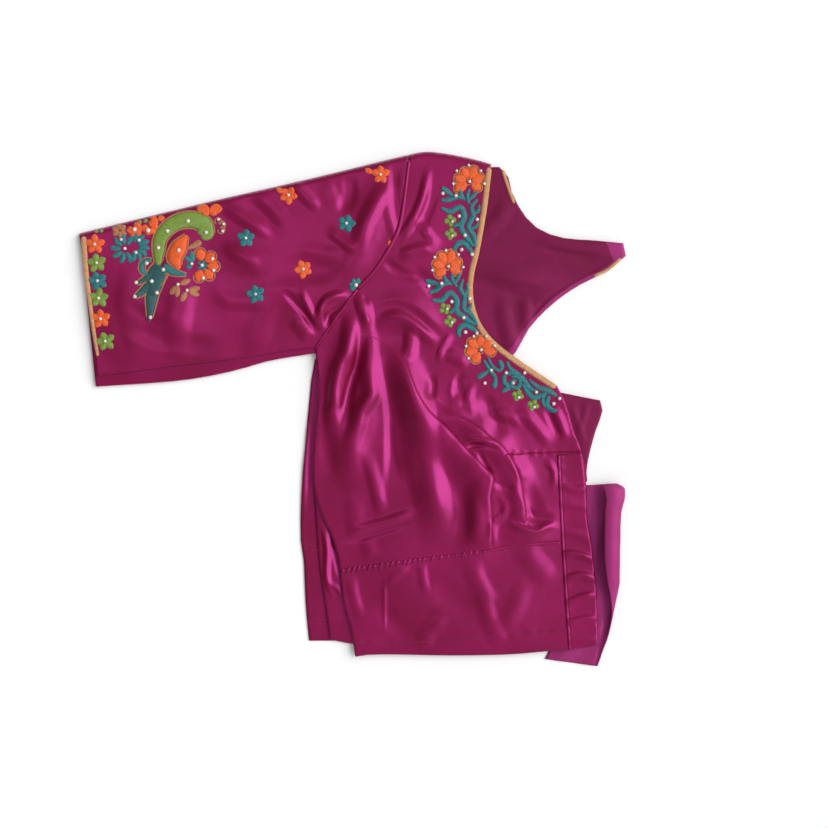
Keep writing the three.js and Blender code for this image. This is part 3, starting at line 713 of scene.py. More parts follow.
# The lining may sink 1 mm at most: the layer under it is close.
BACK_FOLDS = [
    Crease(-0.9, 4, 6, [(142, 125), (168, 119), (200, 115)]),
    Crease(1.1, 5, 9, [(136, 132), (166, 126), (202, 122)]),
    Crease(-0.9, 5, 6, [(84, 99), (112, 94), (134, 87), (156, 82)]),
    Crease(1.3, 6, 14, [(84, 109), (114, 104), (140, 98), (164, 94)]),
    Crease(1.6, 9, 8, [(116, 92), (120, 66), (128, 40)]),
    Crease(1.2, 7, 6, [(134, 90), (136, 74), (134, 60)]),
    Crease(1.4, 10, 8, [(94, 132), (112, 146), (122, 166)]),
    Crease(-0.7, 2.5, 3, [(124, 44), (133, 62), (150, 84), (170, 98), (192, 110), (206, 122)]),
]

ROLLED_UNDER = 3.0         # an edge lower than this is one that rolls down


def rolled_part(node):
    """The stretch of a panel's edge that the CAD rolls down to the table."""
    loop = top_loop(node)
    low = loop[:, 2] < ROLLED_UNDER
    start = next(k for k in range(len(loop)) if low[k] and not low[k - 1])
    turned = np.roll(loop, -start, 0)
    count = next(k for k in range(len(turned)) if turned[k, 2] >= ROLLED_UNDER)
    return turned[:count, :2]


front_roll = rolled_part("front_right")
sleeve_roll = rolled_part("sleeve_right")
front_surface = Surface(Relief("front_right", front_roll), FRONT_FOLDS, front_roll)
sleeve_surface = Surface(Relief("sleeve_right", sleeve_roll), SLEEVE_FOLDS, sleeve_roll, waves=0.6)
band_surface = Surface(Relief("waistband_right"), BAND_FOLDS)
PLACKET_LIFT = 0.25
placket_surface = Surface(lambda xy: np.maximum(front_surface(xy), band_surface(xy)) + PLACKET_LIFT,
                          PLACKET_FOLDS, waves=0.0)

front_cloth = cloth("front_cloth", "front_right", front_surface, "satin")
sleeve_cloth = cloth("sleeve_cloth", "sleeve_right", sleeve_surface, "satin")
band_cloth = cloth("band_cloth", "waistband_right", band_surface, "satin")
placket_cloth = cloth("placket_cloth", "hook_placket", placket_surface, "satin", spacing=1.2,
                      edge=(0.25, 0.7))

KEYHOLE_EDGE = curve([(121, 36), (139, 63), (160, 84), (181, 98), (198, 106), (214, 119)], 2.0)
PAINTED_LIGHT_TIP = 200             # past this x the tip takes the lighter facing cloth all over, where it is lining: painted light, for the light the tip catches
FACING = 3.8
UNDER_LAYER = {"spacing": 2.5, "thickness": 1.3, "edge": (0.5, 1.5)}
SIDE_STRIP = {"spacing": 1.3, "thickness": 1.2, "edge": (0.7, 1.6)}
back_surface = Surface(Relief("back_right_upper"), BACK_FOLDS)
back_lining = cloth(
    "back_lining", "back_right_upper", back_surface, "lining",
    patches=[
        ("facing_and_painted_light", lambda xy: np.abs(nearest_on(xy, KEYHOLE_EDGE).offset) < FACING),
        # the tip: the lighter cloth here is painted light
        ("facing_and_painted_light", lambda xy: xy[:, 0] + 0.4 * (xy[:, 1] - 124) > PAINTED_LIGHT_TIP),
    ],
)
back_under = cloth("back_under", "back_left_upper", Surface(Relief("back_left_upper"), waves=0.1),
                   "satin", **UNDER_LAYER)
lower_back = cloth(
    "lower_back_lining", "back_right_lower",
    Surface(Relief("back_right_lower"), [
        Crease(0.8, 4, 4, [(170, 8), (176, -12), (182, -30)]),
        Crease(0.7, 4, 4, [(184, 8), (180, -8), (176, -20)]),
    ]), "lining")
lower_back_under = cloth("lower_back_under", "back_left_lower",
                         Surface(Relief("back_left_lower"), waves=0.1), "satin", **UNDER_LAYER)
side_outer = cloth(
    "side_outer", "side_left",
    Surface(Relief("side_left"), [
        Crease(0.8, 4, 3, [(-34, 10), (-37, -40), (-38, -90)]),
        Seam(0.5, 0.2, 8, [(-40, -108), (-24, -109)]),
        Seam(0.4, 0.2, 8, [(-36, -166), (-18, -167)]),
    ], waves=0.2), "satin", **SIDE_STRIP)
side_inner = cloth(
    "side_inner", "side_right",
    Surface(Relief("side_right"), [
        Crease(1.8, 3, 4, [(-24, -86), (-20, -108), (-20, -132), (-14, -150)]),
        Crease(-1.0, 3, 4, [(-16, -80), (-13, -112), (-8, -140)]),
        Crease(0.9, 3, 3, [(-20, -134), (-12, -140), (-6, -148)]),
    ], waves=0.2), "satin", **SIDE_STRIP)


# ------------------------------------------------------- the hidden layers
# Rings from the table up, as (inset, height): two rounded layers with a groove between them.
CORE_RINGS = [(1.6, 0.0), (0.7, 0.15), (0.25, 0.5), (0.1, 1.0), (0.35, 1.5), (0.9, 1.85), (1.3, 1.95),
              (0.8, 2.05), (0.3, 2.4), (0.1, 2.9), (0.25, 3.3), (0.8, 3.65), (1.8, 3.8)]


def runs_left(loop):
    """Whether a closed loop runs anticlockwise."""
    x, y = loop.T
    return (x * np.roll(y, -1) - np.roll(x, -1) * y).sum() > 0


def inset_directions(loop):
    tangent = np.roll(loop, -1, 0) - np.roll(loop, 1, 0)
    tangent /= np.linalg.norm(tangent, axis=1)[:, None]
    left = np.stack([-tangent[:, 1], tangent[:, 0]], 1)
    return left if runs_left(loop) else -left


def layered_core():
    """The layers that do not show, as one closed form with a layered edge."""
    loop = resample(top_loop("hidden_layers")[:, :2], 2.0, closed=True)
    inwards = inset_directions(loop)
    rings = [np.column_stack([loop + inwards * inset, np.full(len(loop), height)])
             for inset, height in CORE_RINGS]
    count = len(loop)
    vertices = list(np.vstack(rings))
    faces = []
    turns_left = runs_left(loop)
    for k in range(len(rings) - 1):
        for i in range(count):
            a, b = k * count + i, k * count + (i + 1) % count
            quad = (a, b, b + count, a + count)
            faces.append(quad if turns_left else quad[::-1])
    lowest = list(range(count))
    highest = list(range((len(rings) - 1) * count, len(rings) * count))
    faces.append(tuple(lowest[::-1] if turns_left else lowest))
    faces.append(tuple(highest if turns_left else highest[::-1]))
    piece = mesh_piece("layered_core", vertices, faces, [MATERIALS["satin"]])
    return finish_piece(piece, "satin", "hidden_layers")


layered_core()


# -------------------------------------------------------- the left front
# Where the wall starts, where it ends, the half width and half height of its curl, and its turn.
CurlRow = namedtuple("CurlRow", "start end width height turn")
LEFT_FRONT = [
    CurlRow((176, -60), (206, -58), 8, 5.6, 225),
    CurlRow((176, -64), (212, -61), 10.5, 6.4, 218),
    CurlRow((176, -70), (212, -69), 10, 6.4, 212),
    CurlRow((176, -80), (209, -80), 9, 6.2, 210),
    CurlRow((177, -96), (208.5, -97), 9, 6.0, 208),
    CurlRow((178, -114), (208, -116), 9, 6.0, 205),
    CurlRow((178, -132), (208, -136), 9, 5.6, 190),
    CurlRow((176, -146), (205, -150), 8, 5.0, 150),
    CurlRow((172, -158), (202, -164), 8, 5.0, 105),
    CurlRow((162, -172), (199, -181), 7, 4.6, 62),
    CurlRow((156, -184), (196, -192), 6, 4.4, 44),
    CurlRow((150, -195), (194, -201), 6, 4.2, 32),
]


CURL_ROWS = 110
CURL_COLUMNS = (18, 30)    # on the flat, and round the curl


def left_front(thickness=0.9):
    """The left front on the table, its front edge curled up and over."""
    columns = np.array([[*r.start, *r.end, r.width, r.height, r.turn] for r in LEFT_FRONT], float)
    length = walked_along(columns[:, :2])
    at = np.linspace(0, length[-1], CURL_ROWS)
    rows = np.stack([np.interp(at, length, c) for c in columns.T], 1)
    for _ in range(2):
        rows[1:-1] = (rows[:-2] + 2 * rows[1:-1] + rows[2:]) / 4
    flat_steps, curl_steps = CURL_COLUMNS
    outer, inner = [], []
    for k, (sx, sy, ex, ey, width, height, turn) in enumerate(rows):
        across = np.array([ex - sx, ey - sy])
        total = np.linalg.norm(across)
        across /= total
        flat_end = total - width
        wave = 0.7 * math.sin(k / 5.1) + 0.5 * math.sin(k / 2.3 + 1)
        for i in range(flat_steps):
            d = flat_end * i / flat_steps
            ripple = 0.35 * (1 + math.sin(k / 6 + d / 4)) * smooth(d / 12)
            point = np.array([sx, sy]) + across * d
            outer.append((*point, TABLE + ripple))
            inner.append((*point, TABLE + ripple + thickness))
        for i in range(curl_steps + 1):
            angle = math.radians(turn) * i / curl_steps
            lift = 0.35 * (1 + math.sin(k / 6 + flat_end / 4)) * (1 - smooth(i / 8))
            for store, shrink in ((outer, 0.0), (inner, thickness)):
                d = flat_end + (width - shrink) * math.sin(angle) + 0.12 * wave * math.sin(angle)
                point = np.array([sx, sy]) + across * d
                store.append((*point, TABLE + height - (height - shrink) * math.cos(angle) + lift))
    columns_count = flat_steps + curl_steps + 1
    faces = []
    n = len(outer)
    for j in range(len(rows) - 1):
        for i in range(columns_count - 1):
            a = j * columns_count + i
            quad = (a, a + 1, a + 1 + columns_count, a + columns_count)
            faces += [quad, tuple(v + n for v in reversed(quad))]
    rim = list(range(columns_count - 1))
    rim += [j * columns_count + columns_count - 1 for j in range(len(rows) - 1)]
    rim += [(len(rows) - 1) * columns_count + i for i in range(columns_count - 1, 0, -1)]
    rim += [j * columns_count for j in range(len(rows) - 1, 0, -1)]
    for a, b in zip(rim, rim[1:] + rim[:1]):
        faces.append((b, a, a + n, b + n))
    # The left front takes the lighter facing cloth all over, over its lining: painted light, for the
    # light its curl catches.
    piece = mesh_piece("left_front_cloth", outer + inner, faces, [MATERIALS["facing_and_painted_light"]])
    return finish_piece(piece, "lining", "front_left")


left_front_cloth = left_front()


# ------------------------------------------------------------- embroidery
SECTION = 7        # points across a stroke's rounded top
BLUNT = 0.35       # how wide a stroke's rounded end still is at its tip
FULL_WIDTH = 2.2   # a stroke this wide rises all the way, a narrower one less
CORD = 1.2         # the thin cord round a filled shape
CORD_GAP = 0.45


class Needlework:
    """Strokes and beads, collected by colour, that lie on one panel."""

    def __init__(self, panel, surface):
        self.panel = panel
        self.surface = surface
        self.strokes = {}
        self.beads = []

    def stroke(self, slot, points, widths, rise=0.8, step=0.9, sink=0.5):
        """A raised stroke of stitches along points, as wide as widths say from start to end."""
        line = curve(points, step)
        n = len(line)
        w = widths_along(line, widths)
        normal = left_of(line)
        v = np.linspace(-1, 1, SECTION)
        along = walked_along(line)
        from_end = np.clip(np.minimum(along, along[-1] - along) / (w / 2), 0, 1)
        w = w * np.maximum(np.sqrt(1 - (1 - from_end) ** 2), BLUNT)
        xy = line[:, None] + normal[:, None] * (v[None, :, None] * w[:, None, None] / 2)
        flat = xy.reshape(-1, 2)
        base = self.surface(flat).reshape(n, SECTION)
        full = np.minimum(1, w / FULL_WIDTH)[:, None]
        dome = rise * full * np.sqrt(np.maximum(1 - v**2, 0))[None] ** 0.8
        top = np.dstack([xy, (base + dome + 0.05)[..., None]])
        low = np.dstack([xy[:, [-1, 0]], np.maximum(base[:, [-1, 0]] - sink, TABLE)[..., None]])
        ring = np.concatenate([top, low], 1)
        size = SECTION + 2
        uv_top = np.dstack([np.repeat(along[:, None], SECTION, 1), v[None] * w[:, None] / 2])
        uv = np.concatenate([uv_top, uv_top[:, [-1, 0]]], 1).reshape(-1, 2)
        store = self.strokes.setdefault(slot, ([], [], [], [0]))
        offset = store[3][0]
        faces = []
        for j in range(n - 1):
            for i in range(size):
                a, b = j * size + i, j * size + (i + 1) % size
                faces.append(tuple(q + offset for q in (a, a + size, b + size, b)))
        faces.append(tuple(offset + i for i in range(size)))
        faces.append(tuple(offset + (n - 1) * size + i for i in reversed(range(size))))
        store[0].append(ring.reshape(-1, 3))
        store[1].extend(faces)
        store[2].append(uv)
        store[3][0] += n * size

    def bead(self, x, y, radius=1.35, lift=0.5):
        self.beads.append((x, y, radius, lift))

    def outlined(self, slot, points, widths, outline="thread_gold", rise=1.1, step=0.8):
        """A filled shape along points, with a thin cord round it."""
        self.stroke(slot, points, widths, rise=rise, step=step)
        line = curve(points, 1.0)
        to_edge = left_of(line) * (widths_along(line, widths)[:, None] / 2 + CORD_GAP)
        for rim in (line + to_edge, line - to_edge):
            self.stroke(outline, rim[::4], [CORD, CORD], rise=rise - 0.1, step=step)

    def finish(self):
        pieces = []
        for slot, (vertices, faces, uv, _) in sorted(self.strokes.items()):
            name = f"{self.panel}_{slot}"
            piece = mesh_piece(name, np.vstack(vertices), faces, [MATERIALS[slot]], np.vstack(uv))
            pieces.append(finish_piece(piece, slot))
        if self.beads:
            pieces.append(self.bead_piece())
        return pieces

    def bead_piece(self, around=12, up=8):
        vertices, faces = [], []
        heights = self.surface(np.array([b[:2] for b in self.beads]))
        for (x, y, radius, lift), z in zip(self.beads, heights):
            start = len(vertices)
            centre = np.array([x, y, z + lift + radius * 0.45])
            vertices.append(centre + (0, 0, radius))
            for j in range(1, up):
                polar = math.pi * j / up
                for i in range(around):
                    turn = 2 * math.pi * i / around
                    ring = radius * math.sin(polar)
                    vertices.append(centre + (ring * math.cos(turn), ring * math.sin(turn),
                                              radius * math.cos(polar)))
            vertices.append(centre - (0, 0, radius))
            last = len(vertices) - 1
            for i in range(around):
                j = (i + 1) % around
                faces.append((start, start + 1 + i, start + 1 + j))
                for k in range(up - 2):
                    a = start + 1 + k * around
                    faces.append((a + i, a + around + i, a + around + j, a + j))
                a = start + 1 + (up - 2) * around
                faces.append((last, a + j, a + i))
        piece = mesh_piece(f"{self.panel}_beads", vertices, faces, [MATERIALS["bead"]])
        return finish_piece(piece, "bead")


PETAL_WIDTHS = (0.3, 0.85, 1.0, 0.9, 0.35)     # along a petal, as shares of its width


def polar(radius, angle):
    """The place at a radius and an angle in degrees."""
    a = math.radians(angle)
    return radius * math.cos(a), radius * math.sin(a)


class Motif:
    """A local frame on a panel: x to the right, y up, turned and scaled about a place."""

    def __init__(self, work, x, y, turn=0.0, size=1.0):
        self.work = work
        self.origin = np.array([x, y], float)
        self.turn = math.radians(turn)
        self.size = size

    def place(self, points):
        p = np.atleast_2d(np.asarray(points, float)) * self.size
        c, s = math.cos(self.turn), math.sin(self.turn)
        return p @ np.array([[c, s], [-s, c]]) + self.origin

    def stroke(self, slot, points, widths, **options):
        self.work.stroke(slot, self.place(points), [w * self.size for w in widths], **options)

    def outlined(self, slot, points, widths, **options):
        self.work.outlined(slot, self.place(points), [w * self.size for w in widths], **options)

    def bead(self, x, y, radius=1.35, lift=0.5):
        (px, py), = self.place([(x, y)])
        self.work.bead(px, py, radius, lift)

    def beads(self, places, radius):
        for x, y in places:
            self.bead(x, y, radius)

    def petal(self, slot, angle, near, far, width, bend=0.0, rise=0.8):
        """A rounded petal from near to far of the middle, at an angle in degrees."""
        out = np.array(polar(1.0, angle))
        side = np.array([-out[1], out[0]])
        middle = out * (near + far) / 2 + side * bend
        points = [out * near, middle, out * far]
        self.stroke(slot, points, [share * width for share in PETAL_WIDTHS], rise=rise)

    def petals(self, slot, angles, *shape, **options):
        for angle in angles:
            self.petal(slot, angle, *shape, **options)


def on_circle(x, y, radius, start, end, count=9):
    """Points of an arc, angles in degrees."""
    angles = np.radians(np.linspace(start, end, count))
    return np.stack([x + radius * np.cos(angles), y + radius * np.sin(angles)], 1)


def spiral(x, y, outer, inner, start, turns, count=16):
    t = np.linspace(0, 1, count)
    angle = math.radians(start) + t * turns * 2 * math.pi
    radius = outer + (inner - outer) * t
    return np.stack([x + radius * np.cos(angle), y + radius * np.sin(angle)], 1)


def star_flower(work, x, y, slot, turn=0.0, radius=7.6, bead=1.3):
    """A small flower of five petals with a bead in its middle."""
    m = Motif(work, x, y, turn)
    for k in range(5):
        m.petal(slot, 90 + 72 * k + random.uniform(-5, 5), 0.4, radius * random.uniform(0.93, 1.05), 5.6)
    m.bead(0, 0, bead)


def fan_flower(work, x, y, turn, radius=12.5, lobes=6, spread=250):
    """A big flower: lobes in a fan, each edged in gold, round a gold curl."""
    m = Motif(work, x, y, turn)
    step = spread / (lobes - 1)
    for k in range(lobes):
        angle = 90 - spread / 2 + k * step
        lobe = radius * random.uniform(0.9, 1.06)
        m.petal("thread_orange", angle, 2.0, lobe, 8.4, rise=1.1)
        edge = on_circle(*polar(lobe - 3.9, angle), 4.4, angle - 95, angle + 95)
        m.stroke("thread_gold", edge, [1.3, 1.3], rise=1.0)
        if k:
            m.bead(*polar(radius * 0.98, angle - step / 2), 1.15)
    m.stroke("thread_gold", spiral(0, 0, 3.4, 0.8, 200, 1.2), [1.2, 1.2], rise=1.0)
    m.bead(0.6, -0.4, 1.3)


def bud(work, x, y, turn):
    """Four round green lobes and a bead."""
    m = Motif(work, x, y, turn)
    m.petals("thread_green", (10, 100, 190, 275), 0.2, 5.0, 4.6, rise=0.9)
    m.bead(1.6, -1.0, 1.25)


def scroll_vine(work, x, y, turn):
    """A scrolling stem with leaves and tendrils, about 55 mm long, that runs down from a flower."""
    m = Motif(work, x, y, turn)
    strokes = [
        # leaves on the left and the stem they grow from
        ([(-23, -5), (-18, -9), (-14, -12)], [3.0, 4.6, 2.0]),
        ([(-24, -15), (-18, -15), (-11, -13), (-5, -15)], [2.4, 4.2, 3.8, 1.8]),
        ([(-24, -21), (-17, -24), (-9, -21), (-6, -28), (-9, -36), (-5, -44), (1, -52)],
         [2.2, 4.4, 4.4, 4.8, 4.6, 4.8, 2.4]),
        # the second stem
        ([(5, -15), (0, -21), (1, -28), (-3, -36), (1, -44), (2, -54)], [1.8, 4.0, 4.4, 4.0, 4.2, 1.8]),
        # leaves under the flower
        ([(-8, -6), (-8, -11), (-5, -16)], [1.8, 3.8, 2.0]),
        ([(-1, -7), (-3, -12), (-2, -19)], [1.8, 3.6, 2.0]),
        ([(5, -9), (1, -13), (-3, -16)], [1.8, 3.8, 1.6]),
        # small leaves that spring from the stems
        ([(0, -27), (5, -24), (6, -19)], [1.6, 3.4, 1.4]),
        ([(-8, -33), (-13, -35), (-16, -36)], [1.8, 3.4, 1.4]),
        ([(-3, -38), (2, -37), (5, -33)], [1.6, 3.2, 1.2]),
        # the hook at the foot
        ([*on_circle(-9, -54, 5.4, 200, 25, 7), (0, -58)], [3.0, 4.4, 4.6, 2.4]),
    ]
    for points, widths in strokes:
        m.stroke("thread_teal", points, widths, rise=1.1)
    for k, (bx, by) in enumerate(((-17, -31), (-17, -41.5))):
        bud(work, *m.place([(bx, by)])[0], turn - 20 * k)
    m.beads(((-12, -12), (-10, -28), (-22, -10), (4, -31), (-6, -43), (-9, -54), (-1, -58)), 1.5)


front_work = Needlework("front", front_surface)
fan_flower(front_work, 90.5, 177, 0)
scroll_vine(front_work, 92, 178, 2)
fan_flower(front_work, 74, 111, 6)
scroll_vine(front_work, 76, 113, 22)
fan_flower(front_work, 99.5, 46, 26, 11.8)


def closing_vine(work):
    """The last, shorter vine, which ends in a curl beside the corner of the neck."""
    m = Motif(work, 101, 45)
    strokes = [
        # the leaves under the flower
        ([(1, -7), (6, -15), (10, -21), (9, -29)], [2.2, 3.6, 3.0, 4.8]),
        ([(5, -15), (1, -18), (-4, -21)], [2.0, 3.6, 4.8]),
        ([(4, -4), (8, -12), (14, -16)], [1.4, 2.4, 2.6]),
        ([(13, -7), (15, -12), (13, -16)], [3.4, 4.4, 3.0]),
        # the stem that comes from the border and divides in two
        ([(19, -8), (22, -14), (30, -20), (36, -28), (42, -32)], [2.2, 3.8, 4.2, 4.4, 2.4]),
        ([(17, -18), (17, -24), (20, -28), (15, -32)], [3.6, 4.2, 5.0, 2.0]),
        ([(18, -18), (24, -17), (29, -19)], [2.6, 3.8, 2.4]),
        (spiral(25, -25, 5.6, 1.4, 120, -1.25), [2.8, 3.8, 2.6]),
        ([(31, -25), (36, -33), (41, -36), (50, -33)], [2.0, 4.4, 4.6, 3.2]),
        ([(36, -22), (43, -28), (51, -31), (58, -35)], [1.6, 3.8, 4.8, 3.0]),
        # the curl at the corner
        (on_circle(56.5, -40, 6.4, 130, 285, 7), [3.4, 4.4, 4.4, 2.2]),
        ([(48, -34), (47, -39), (49, -44)], [2.2, 3.4, 2.0]),
    ]
    for points, widths in strokes:
        m.stroke("thread_teal", points, widths, rise=1.1)
    bud(work, 128.5, 10.5, -30)
    bud(work, 140.5, 3, -30)
    m.beads(((7, -15), (2, -25), (18.5, -17), (33, -17), (24, -25), (42, -32), (60, -37),
             (55.5, -41)), 1.45)


closing_vine(front_work)

sleeve_work = Needlework("sleeve", sleeve_surface)
CUFF_FLOWERS = [
    (-200, 128, "thread_orange"), (-198.5, 113.5, "thread_green"), (-198, 99.5, "thread_teal"),
    (-197, 86, "thread_green"), (-195.5, 70, "thread_orange"), (-192, 52.5, "thread_green"),
]
for k, (x, y, slot) in enumerate(CUFF_FLOWERS):
    star_flower(sleeve_work, x, y, slot, 8 * (k % 3), 8.0)

SPRINKLED = [(-82.5, 132.5, "thread_teal"), (-75, 89, "thread_teal"), (-38, 108.5, "thread_orange"),
             (-49.5, 166, "thread_orange"), (-4.5, 144, "thread_teal"), (22, 182, "thread_orange")]
for k, (x, y, slot) in enumerate(SPRINKLED):
    star_flower(sleeve_work, x, y, slot, 14 * k, 7.4)


def parrot(work):
    """A parrot with a bowed neck, a crescent back, a wing, a forked tail and a crest of loops."""
    m = Motif(work, -137.5, 126)
    back = [(25, 9), (23, 17), (12, 21), (-1, 18), (-11, 8), (-13, -4), (-13, -15)]
    m.outlined("thread_green", back, [9.5, 13, 12.5, 11.5, 11, 9.5, 4], rise=1.2)
    m.stroke("thread_green", on_circle(23.5, 11.5, 3.2, -150, 225, 15), [7.2, 7.2], rise=1.3)
    m.outlined("thread_orange", [(9, 9), (4, 1), (0, -8), (3, -18)], [3, 12.5, 13, 3.5], rise=1.3)
    m.stroke("thread_gold", [(20, 4), (15, 1), (9, -2)], [6.0, 4.6, 1.8], rise=1.2)
    # the tail: three long feathers, a short one and a curl
    for feather, widths in (([(-12, -14), (-18, -22), (-30, -29)], [9, 10, 5, 1.5]),
                            ([(-10, -16), (-17, -28), (-32, -40)], [10, 12, 7, 2]),
                            ([(-9, -17), (-17, -33), (-20, -58)], [10, 12, 8, 3])):
        m.outlined("deep_teal", feather, widths, rise=1.1)
    m.stroke("deep_teal", [(-12, -16), (-15, -26), (-18, -38)], [9, 13, 8], rise=1.4)
    m.outlined("thread_teal", [(-9, -15), (-1, -20), (9, -22)], [7, 6, 4, 1.5], rise=1.15)
    m.outlined("thread_teal", on_circle(-20, -16, 6, 70, 270), [1.5, 4.2, 4.4, 1.5])
    # the crest
    for angle in (75, 20, -35):
        dx, dy = polar(4.5, angle)
        loop = Motif(work, -105.5 + dx, 141.5 + dy, angle)
        loop.stroke("thread_gold", on_circle(0, 0, 2.6, -160, 160), [1.3, 1.3], rise=0.9)
        loop.bead(1.4, 0, 1.3)
    m.beads(((24, 11), (10, 20), (-6, 12), (-13, -1), (3, -3), (-9, -18), (-22, -13), (-18, -27),
             (-14, -36), (-31, -39), (-19, -55), (-30, -28)), 1.6)


parrot(sleeve_work)


# What the top fold and the armhole seam leave of some flowers, and small leaves beside them:
# x, y, slot, the angles of the petals, then near, far and width, and rise.
PART_FLOWERS = [
    (-151.5, 147, "thread_orange", (20, 165, 235), (0, 6, 5.0), 0.8),
    (-181, 138.5, "thread_gold", (40, 100, 160, 215, 280, 330), (0.5, 6.2, 4.6), 0.8),
    (-163, 145.5, "thread_green", (15, 190), (0.3, 4.5, 3.0), 0.8),
    (-197, 138, "thread_green", (10, 185), (0.3, 3.6, 2.6), 0.8),
    (-111, 155.5, "thread_orange", (0, 180), (0, 10, 8.0), 0.9),
    (-111, 155, "thread_orange", (220, 320), (0, 7, 6.0), 0.9),
    (-53, 168, "thread_orange", (150,), (0, 7, 4.5), 0.8),
    (16, 183, "thread_orange", (150,), (0, 7, 4.5), 0.8),
    (3.5, 95.5, "thread_teal", (75, 120, 165, 210), (0.4, 6.2, 4.8), 0.8),
    (30.5, 128.5, "thread_orange", (150, 200), (-0.6, 3.4, 3.2), 0.8),
]


def leaf_sprays(work):
    """Teal sprigs between the cuff flowers and the parrot, and gold leaves beyond it."""
    for x, y, start, end, beads in ((-176.5, 124.5, 55, 290, ((0, 0), (-3, 7))),
                                    (-169, 126, -100, 80, ((3.5, 5), (1, -4.5)))):
        m = Motif(work, x, y)
        m.petals("thread_teal", np.linspace(start, end, 7), 3.0, 12, 4.2, 0.9, rise=0.9)
        m.beads(beads, 1.4)
    for x, y, angles in ((-135, 96.5, (20, 230, 262)), (-128, 92, (10, -24, -118))):
        m = Motif(work, x, y)
        m.petals("thread_gold", angles, 1.0, 10, 4.8)
        m.bead(0, 0, 1.3)
    # flowers that the top fold cuts through
    for x, y, radius, bead in ((-169, 139.5, 6.6, (0, 0)), (-157.5, 141, 6.6, (-1, -2.5))):
        m = Motif(work, x, y)
        m.petals("thread_orange", (-170, -110, -50, 10, 60), 0.5, radius, 6.0, rise=0.9)
        m.bead(*bead, 1.8)
    for x, y, slot, angles, shape, rise in PART_FLOWERS:
        Motif(work, x, y).petals(slot, angles, *shape, rise=rise)
    work.bead(3, 96, 1.6)


leaf_sprays(sleeve_work)


def ring_flower(work, x, y):
    """An orange flower of rounded lobes, open on its left, round a small teal one."""
    m = Motif(work, x, y)
    for angle in (100, 45, -5, -55, -105):
        m.petal("thread_orange", angle, 3.5, 13, 9.0, rise=1.1)
        edge = on_circle(*polar(9.5, angle), 4.4, angle - 95, angle + 95)
        m.stroke("thread_gold", edge, [1.1, 1.1], rise=0.9)
    m.petals("thread_teal", range(0, 360, 72), 0.3, 4.6, 3.0)
    m.beads(((0, 0), (8, 5), (9, -4), (1, -10), (-8, 1)), 1.4)
    sprig = Motif(work, x - 7, y + 1.5)
    for angle, length in ((98, 10), (140, 8), (215, 6.5)):
        sprig.petal("thread_teal", angle, 0.8, length, 4.6, rise=0.9)


ring_flower(sleeve_work, -116.5, 111.5)


# ---------------------------------------------------------- gold borders
BORDER_INSET = (1.6, 1.0)


def border(name, nodes, surface, line, widths, rise=0.9):
    """A raised band of gold thread along the edge of a panel."""
    work = Needlework(name, surface)
    work.stroke("gold_piping", line, widths, rise=rise, step=1.2, sink=0.9)
    piece, = work.finish()
    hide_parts(*nodes)
    return piece


NECKLINE = [(108, 188.5), (104, 156), (98.4, 124), (94.2, 106), (93.4, 89), (97.8, 70.5),
            (108.6, 54.5), (127.5, 39), (159.5, 17.5)]
CUFF = [(-197.8, 41), (-200.1, 55), (-203.6, 80), (-206.9, 107), (-208.9, 134)]
border("neck", ["neck_piping"], front_surface, np.array(NECKLINE) - BORDER_INSET, [4.4, 4.4])
border("cuff", ["cuff_piping"], sleeve_surface, CUFF, [2.4, 3.0, 3.4, 4.0, 4.6])
border("back_neck", ["back_neck_piping"], back_surface, [(117, 186), (121.5, 172), (126, 160)],
       [2.6, 2.6])
border("keyhole", ["keyhole_piping"], back_surface, [(188, 103.5), (198, 108), (209, 117)], [2.2, 2.6])

front_pieces = front_work.finish()
sleeve_pieces = sleeve_work.finish()


# --------------------------------------------------------------- stitches
def stitch_line(work, run, pitch=3.0, length=1.9, width=0.45):
    """A row of separate stitches."""
    line = curve(run, 0.5)
    along = walked_along(line)
    for start in np.arange(1.0, along[-1] - length, pitch):
        ends = np.linspace(start, start + length * random.uniform(0.85, 1.1), 3)
        dash = point_at(ends, line, along)
        work.stroke("thread_crimson", dash, [width, width], rise=0.25, step=0.9, sink=0.1)


HEM_STITCHES = [(4, -181), (40, -181.5), (84, -179), (120, -176), (146, -173), (162, -172)]
WAIST_STITCHES = [(-6, -127.2), (21, -123.4), (55, -118.4), (81, -115.4), (106, -111.4),
                  (131, -107.4), (160, -105)]
PLACKET_STITCHES = [(161.5, -38), (163.5, -77), (165.5, -116), (168.5, -163), (170.5, -186)]

band_work = Needlework("band", band_surface)
stitch_line(band_work, HEM_STITCHES)
stitch_line(band_work, WAIST_STITCHES)


def gathered_seam(work, slot, run, pitch, width, length, lean):
    """A seam whose stitches draw the cloth up into small oblique puckers."""
    line = curve(run, 0.5)
    along = walked_along(line)
    at = 0.5
    while at < along[-1]:
        x, y = point_at(at, line, along)
        half = length * random.uniform(0.35, 0.6)
        tip = np.array([lean, 1.0]) / math.hypot(lean, 1.0) * half
        rise = 0.95 * random.uniform(0.5, 1.0)
        work.stroke(slot, [(x - tip[0], y - tip[1]), (x, y), (x + tip[0], y + tip[1])],
                    [0.4 * width, width, 0.4 * width], rise=rise, step=0.7)
        at += pitch * random.uniform(0.8, 1.25)


